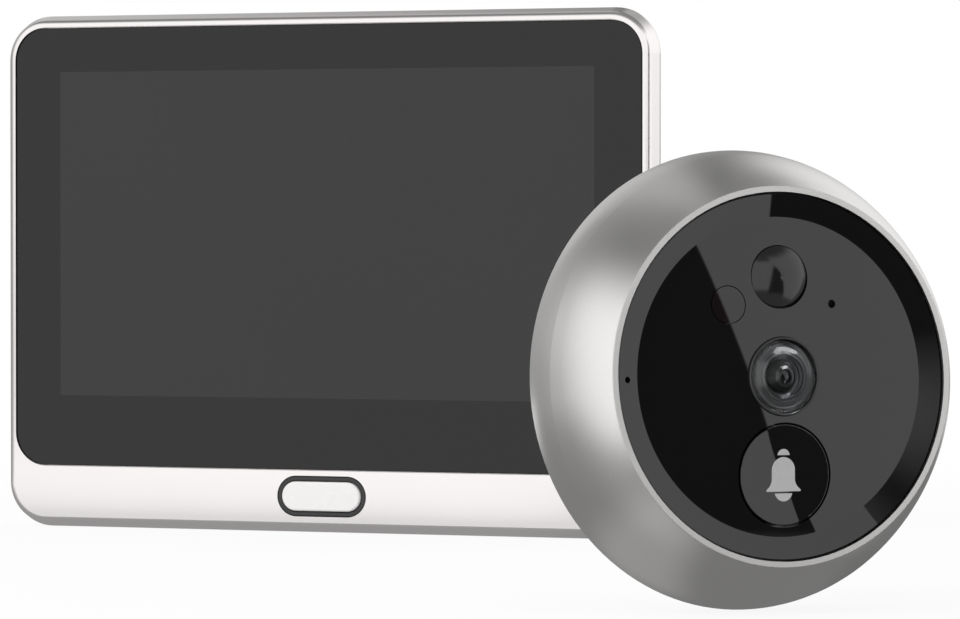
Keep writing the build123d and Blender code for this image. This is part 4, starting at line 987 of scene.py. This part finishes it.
# %% [markdown]
# ## Turning a piece, as on a lathe
# The front panel, the small window, the bell button and the parts of the lens are round. The
# construction's own mesh of a shallow dome is coarse, and in black gloss every facet bends the mirror
# picture. So these pieces are turned again, finer. One point is extruded from corner to corner of a
# half section and spun about the axis. The points of an arc lie close together. The piece is made
# in millimetres about the unit's own axis, drilled there, and carried to its place at the very end.

# %% The lathe, the drill and the last placing
def arc(centre, radius, start, end, count):
    """Points on a circle of a half section, between two angles in degrees."""
    points = []
    for step in range(count + 1):
        angle = radians(start + (end - start) * step / count)
        points.append((centre[0] + radius * cos(angle), centre[1] + radius * sin(angle)))
    return points


def select(piece):
    """The piece alone is selected, and it is the active one."""
    bpy.ops.object.select_all(action="DESELECT")
    piece.select_set(True)
    bpy.context.view_layer.objects.active = piece


def apply_place(piece):
    """The piece's place and turn go into its points."""
    select(piece)
    bpy.ops.object.transform_apply(location=True, rotation=True, scale=True)


def edit(piece):
    """The piece is open for editing, with all its points selected."""
    select(piece)
    bpy.ops.object.mode_set(mode="EDIT")
    bpy.ops.mesh.select_mode(type="VERT")
    bpy.ops.mesh.select_all(action="SELECT")


def turn_piece(name, section, steps):
    """A body of revolution about Y, from the (radius, depth) points of its half section."""
    bpy.ops.object.select_all(action="DESELECT")
    bpy.ops.mesh.primitive_plane_add(size=1.0, location=(0.0, 0.0, 0.0))
    piece = bpy.context.object
    piece.name = name
    edit(piece)
    bpy.ops.mesh.merge(type="CENTER")
    bpy.ops.transform.translate(value=(section[0][0], section[0][1], 0.0))
    for here, there in zip(section, section[1:]):
        step = (there[0] - here[0], there[1] - here[1], 0.0)
        bpy.ops.mesh.extrude_vertices_move(TRANSFORM_OT_translate={"value": step})
    bpy.ops.mesh.select_all(action="SELECT")
    bpy.ops.mesh.spin(steps=steps, angle=2 * pi, center=(0.0, 0.0, 0.0), axis=(0.0, 1.0, 0.0))
    bpy.ops.mesh.select_all(action="SELECT")
    bpy.ops.mesh.remove_doubles(threshold=0.0004)
    bpy.ops.mesh.normals_make_consistent(inside=False)
    bpy.ops.object.mode_set(mode="OBJECT")
    return piece


def round_bar(radius, start, end, place=(0.0, 0.0)):
    """A round bar along Y, to drill or to cut with."""
    bpy.ops.object.select_all(action="DESELECT")
    middle = (place[0], (start + end) / 2, place[1])
    turn = (pi / 2, 0.0, 0.0)
    bpy.ops.mesh.primitive_cylinder_add(
        vertices=128, radius=radius, depth=end - start, location=middle, rotation=turn
    )
    bar = bpy.context.object
    apply_place(bar)
    return bar


def cut(piece, tool, operation="DIFFERENCE"):
    """One body cut by another, which is used up."""
    modifier = piece.modifiers.new("cut", "BOOLEAN")
    modifier.operation = operation
    modifier.solver = "EXACT"
    modifier.object = tool
    select(piece)
    bpy.ops.object.modifier_apply(modifier=modifier.name)
    bpy.data.objects.remove(tool, do_unlink=True)


def copy_of(piece, name):
    """A copy with a mesh of its own."""
    copy = piece.copy()
    copy.data = piece.data.copy()
    copy.name = name
    bpy.context.scene.collection.objects.link(copy)
    return copy


def settle(piece, finish, body="housings", crease=12.0):
    """The piece goes to its place on the unit, is smoothed and painted, and rides on its body."""
    piece.matrix_world = unit_place
    apply_place(piece)
    bpy.ops.object.shade_smooth_by_angle(angle=radians(crease))
    piece.data.materials.clear()
    piece.data.materials.append(finishes[finish])
    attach(piece, body)
    print(piece.name, "has", len(piece.data.polygons), "faces")


print("lathe ready")

# %% [markdown]
# ## The front panel and its window
# The panel is one turned disc: a narrow bevel, a sloping ring, a valley and a dome so shallow that it
# rises one millimetre over forty. Its holes are drilled one after another. The small window is a
# plug of the same disc, so the dome runs on over it and only its thin gap shows.

# %% Panel and window
panel_radius = 23.87
panel_edge = 0.25
panel_edge_front = -12.63
valley_radius = 20.73
valley_depth = 1.0
panel_back = -10.20
dome_ball = (valley_radius**2 + valley_depth**2) / (2 * valley_depth)
dome_reach = degrees(asin(valley_radius / dome_ball))
bell_place = (0.0, -12.75)
panel_holes = {
    "lens": (5.18, (0.0, 0.0)),
    "motion sensor": (4.15, (0.0, 12.9)),
    "bell": (6.8, bell_place),
    "voice": (0.55, (7.6, 9.35)),
    "edge": (0.42, (-22.3, -0.15)),
}
crown_points = 44
panel_steps = 160
window_place = (-7.6, 9.35)
window_hole = 2.5
window_radius = 2.38
window_ledge = 0.6
window_back = -11.30
drill_start = -rim_height - 2.0
drill_end = panel_back + 1.0


def panel_section(lift=0.0, back=panel_back):
    """The half section of the panel's disc, moved back by lift."""
    crown = arc((0.0, -rim_height + dome_ball + lift), dome_ball, -90.0 + dome_reach, -90.0, crown_points)
    edge = [
        (0.0, back),
        (panel_radius, back),
        (panel_radius, panel_edge_front + panel_edge + lift),
        (panel_radius - panel_edge, panel_edge_front + lift),
    ]
    return edge + crown


front_panel = turn_piece("front_panel", panel_section(), panel_steps)
window_plug = copy_of(front_panel, "window_plug")
bell_cap = copy_of(front_panel, "bell_cap")
for radius, place in panel_holes.values():
    cut(front_panel, round_bar(radius, drill_start, drill_end, place))
cut(front_panel, round_bar(window_hole, drill_start, window_back, window_place))
cut(front_panel, round_bar(window_hole - window_ledge, drill_start, drill_end, window_place))
cut(window_plug, round_bar(window_radius, drill_start, window_back, window_place), "INTERSECT")
settle(front_panel, "panel_black")
settle(window_plug, "dark_window")
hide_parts("camera_front_panel")
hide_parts("light_window")

# %% [markdown]
# ## The bell button
# The button follows the panel's dome, and a finger dish takes up its whole face: a cut by a large ball
# that leaves only a fine rim. Behind the panel it has a flange, which keeps it in, and a stem that
# reaches the switch. It is cut from a copy of the panel's disc, like the window, and it rides on the
# bell's own body, so that it sinks when the bell is pressed.

# %% Bell button
bell_radius = 6.52
bell_recess = 0.02
bell_dish_ball = 59.4
bell_dish_depth = 0.46
dish_tool_radius = 9.0
dish_tool_front = -3.0
bell_flange_radius = 7.3
bell_flange_front = -10.05
bell_flange_back = -9.35
bell_stem_radius = 1.5
bell_stem_end = -6.2
bell_overlap = 0.05
bell_tilt = asin(-bell_place[1] / dome_ball)
bell_surface = -rim_height + dome_ball - (dome_ball**2 - bell_place[1] ** 2) ** 0.5


def dish_tool():
    """The ball's cap that cuts the finger dish, turned about the dome's own slant."""
    reach = degrees(asin(dish_tool_radius / bell_dish_ball))
    bowl = arc((0.0, bell_dish_depth - bell_dish_ball), bell_dish_ball, 90.0 - reach, 90.0, 40)
    front = [(0.0, dish_tool_front), (bowl[0][0], dish_tool_front)]
    tool = turn_piece("dish_tool", front + bowl, panel_steps)
    tilt = Matrix.Rotation(bell_tilt, 4, "X")
    tool.matrix_world = Matrix.Translation(Vector((0.0, bell_surface, bell_place[1]))) @ tilt
    apply_place(tool)
    return tool


bell_cap.location = (0.0, bell_recess, 0.0)
apply_place(bell_cap)
bell_cap_back = bell_flange_front + bell_overlap
cut(bell_cap, round_bar(bell_radius, drill_start, bell_cap_back, bell_place), "INTERSECT")
cut(bell_cap, dish_tool())
bell_back = [
    (0.0, bell_flange_front),
    (bell_flange_radius, bell_flange_front),
    (bell_flange_radius, bell_flange_back),
    (bell_stem_radius, bell_flange_back),
    (bell_stem_radius, bell_stem_end),
    (0.0, bell_stem_end),
]
bell_foot = turn_piece("bell_foot", bell_back, 64)
edit(bell_foot)
bpy.ops.transform.translate(value=(0.0, 0.0, bell_place[1]))
bpy.ops.object.mode_set(mode="OBJECT")
cut(bell_cap, bell_foot, "UNION")
settle(bell_cap, "bell_black", body="bell_key")
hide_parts("bell_button")

# %% [markdown]
# ## Inside the lens
# Through the clear cover one looks into a real wide lens. Its first glass is a meniscus: it bulges in
# front and is hollow behind, ground and coated so that it hardly mirrors anything. In the hollow a
# black cone carries the small second glass.

# %% The first glass
first_radius = 2.75
first_rim = -13.15
first_back = -12.55
first_sag = 0.62
hollow_radius = 2.42
hollow_front = -13.60


def cap_arc(radius, rim, sag, count):
    """The half section of a ball's cap, from its rim to its top."""
    ball = (radius**2 + sag**2) / (2 * sag)
    reach = degrees(asin(radius / ball))
    return arc((0.0, rim - sag + ball), ball, -90.0 + reach, -90.0, count)


hollow = cap_arc(hollow_radius, first_back, first_back - hollow_front, 24)
first_section = [hollow[0], (first_radius, first_back)] + cap_arc(first_radius, first_rim, first_sag, 24)
first_section += list(reversed(hollow))
first_glass = turn_piece("first_glass", first_section, 128)
settle(first_glass, "lens_coated", crease=30.0)
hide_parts("lens_front_element")

# %% The cone and the second glass
cone_front = -13.20
cone_back = -11.6
cone_hole = 1.12
cone_top = 1.36
cone_foot = (2.12, -12.30)
cone_section = [
    (cone_hole, cone_front),
    (cone_hole, cone_back),
    (cone_foot[0], cone_back),
    cone_foot,
    (cone_top, cone_front),
    (cone_hole, cone_front),
]
lens_cone = turn_piece("lens_cone", cone_section, 96)
settle(lens_cone, "lens_inside", crease=25.0)
second_radius = 1.08
second_rim = cone_front + 0.30
second_sag = 0.30
second_section = [(0.0, cone_back), (second_radius, cone_back)]
second_section += cap_arc(second_radius, second_rim, second_sag, 14)
second_glass = turn_piece("second_glass", second_section, 64)
settle(second_glass, "panel_black", crease=25.0)

# %% [markdown]
# Two thin rings of dark bright metal hold the glasses: one round the foot of the nose, one on its
# cone. Each is a small round bead, sunk in the step that it lies on, so it shows as a fine line. The
# second glass lies under a bevelled ring of the same dark metal. At its top the bevel tilts just
# enough to mirror the catch light: the small white crescent that makes a lens look alive.

# %% Holding rings
ring_beads = {
    "nose_ring": {"radius": 4.05, "depth": -12.62, "bead": 0.05},
    "glass_ring": {"radius": 3.25, "depth": -12.99, "bead": 0.04},
}
for name, ring in ring_beads.items():
    bead = arc((ring["radius"], ring["depth"]), ring["bead"], 0.0, 360.0, 12)
    settle(turn_piece(name, bead, 96), "lens_satin", crease=60.0)
glint_inner = 0.95
glint_outer = cone_top
glint_slope = radians(24.0)
glint_front = cone_front - 0.17
glint_back = cone_front + 0.15
glint = [
    (glint_inner, glint_front),
    (glint_outer, glint_front + (glint_outer - glint_inner) * tan(glint_slope)),
    (glint_outer, glint_back),
    (glint_inner, glint_back),
    (glint_inner, glint_front),
]
settle(turn_piece("glint_ring", glint, 96), "lens_satin", crease=30.0)

# %% [markdown]
# ## The foam ring on the back
# The ring that seals the unit to the door is soft, so it isn't left as the plain disc of the
# construction. It is turned with its long edges pressed round, and its cut face swells a little
# between them. It stays as thick as the construction says, because it is measured against the door.

# %% Foam ring
foam_inner = 10.5
foam_outer = 25.95
foam_front = 3.0
foam_back = 4.2
foam_round = 0.32
foam_swell = 0.06
foam_points = 5


def foam_section():
    """The ring's section: two round lips at each side and a slightly swollen middle."""
    middle = (foam_front + foam_back) / 2
    outer_lip = foam_outer - foam_round - foam_swell
    inner_lip = foam_inner + foam_round + foam_swell
    front_lip = foam_front + foam_round
    back_lip = foam_back - foam_round
    outer = arc((outer_lip, back_lip), foam_round, 90.0, 20.0, foam_points)
    outer += [(foam_outer, middle)]
    outer += arc((outer_lip, front_lip), foam_round, -20.0, -90.0, foam_points)
    inner = arc((inner_lip, front_lip), foam_round, -90.0, -160.0, foam_points)
    inner += [(foam_inner, middle)]
    inner += arc((inner_lip, back_lip), foam_round, 160.0, 90.0, foam_points)
    return outer + inner + [outer[0]]


foam_ring = turn_piece("foam_ring", foam_section(), 128)
settle(foam_ring, "foam_black", crease=50.0)
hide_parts("door_foam_pad")
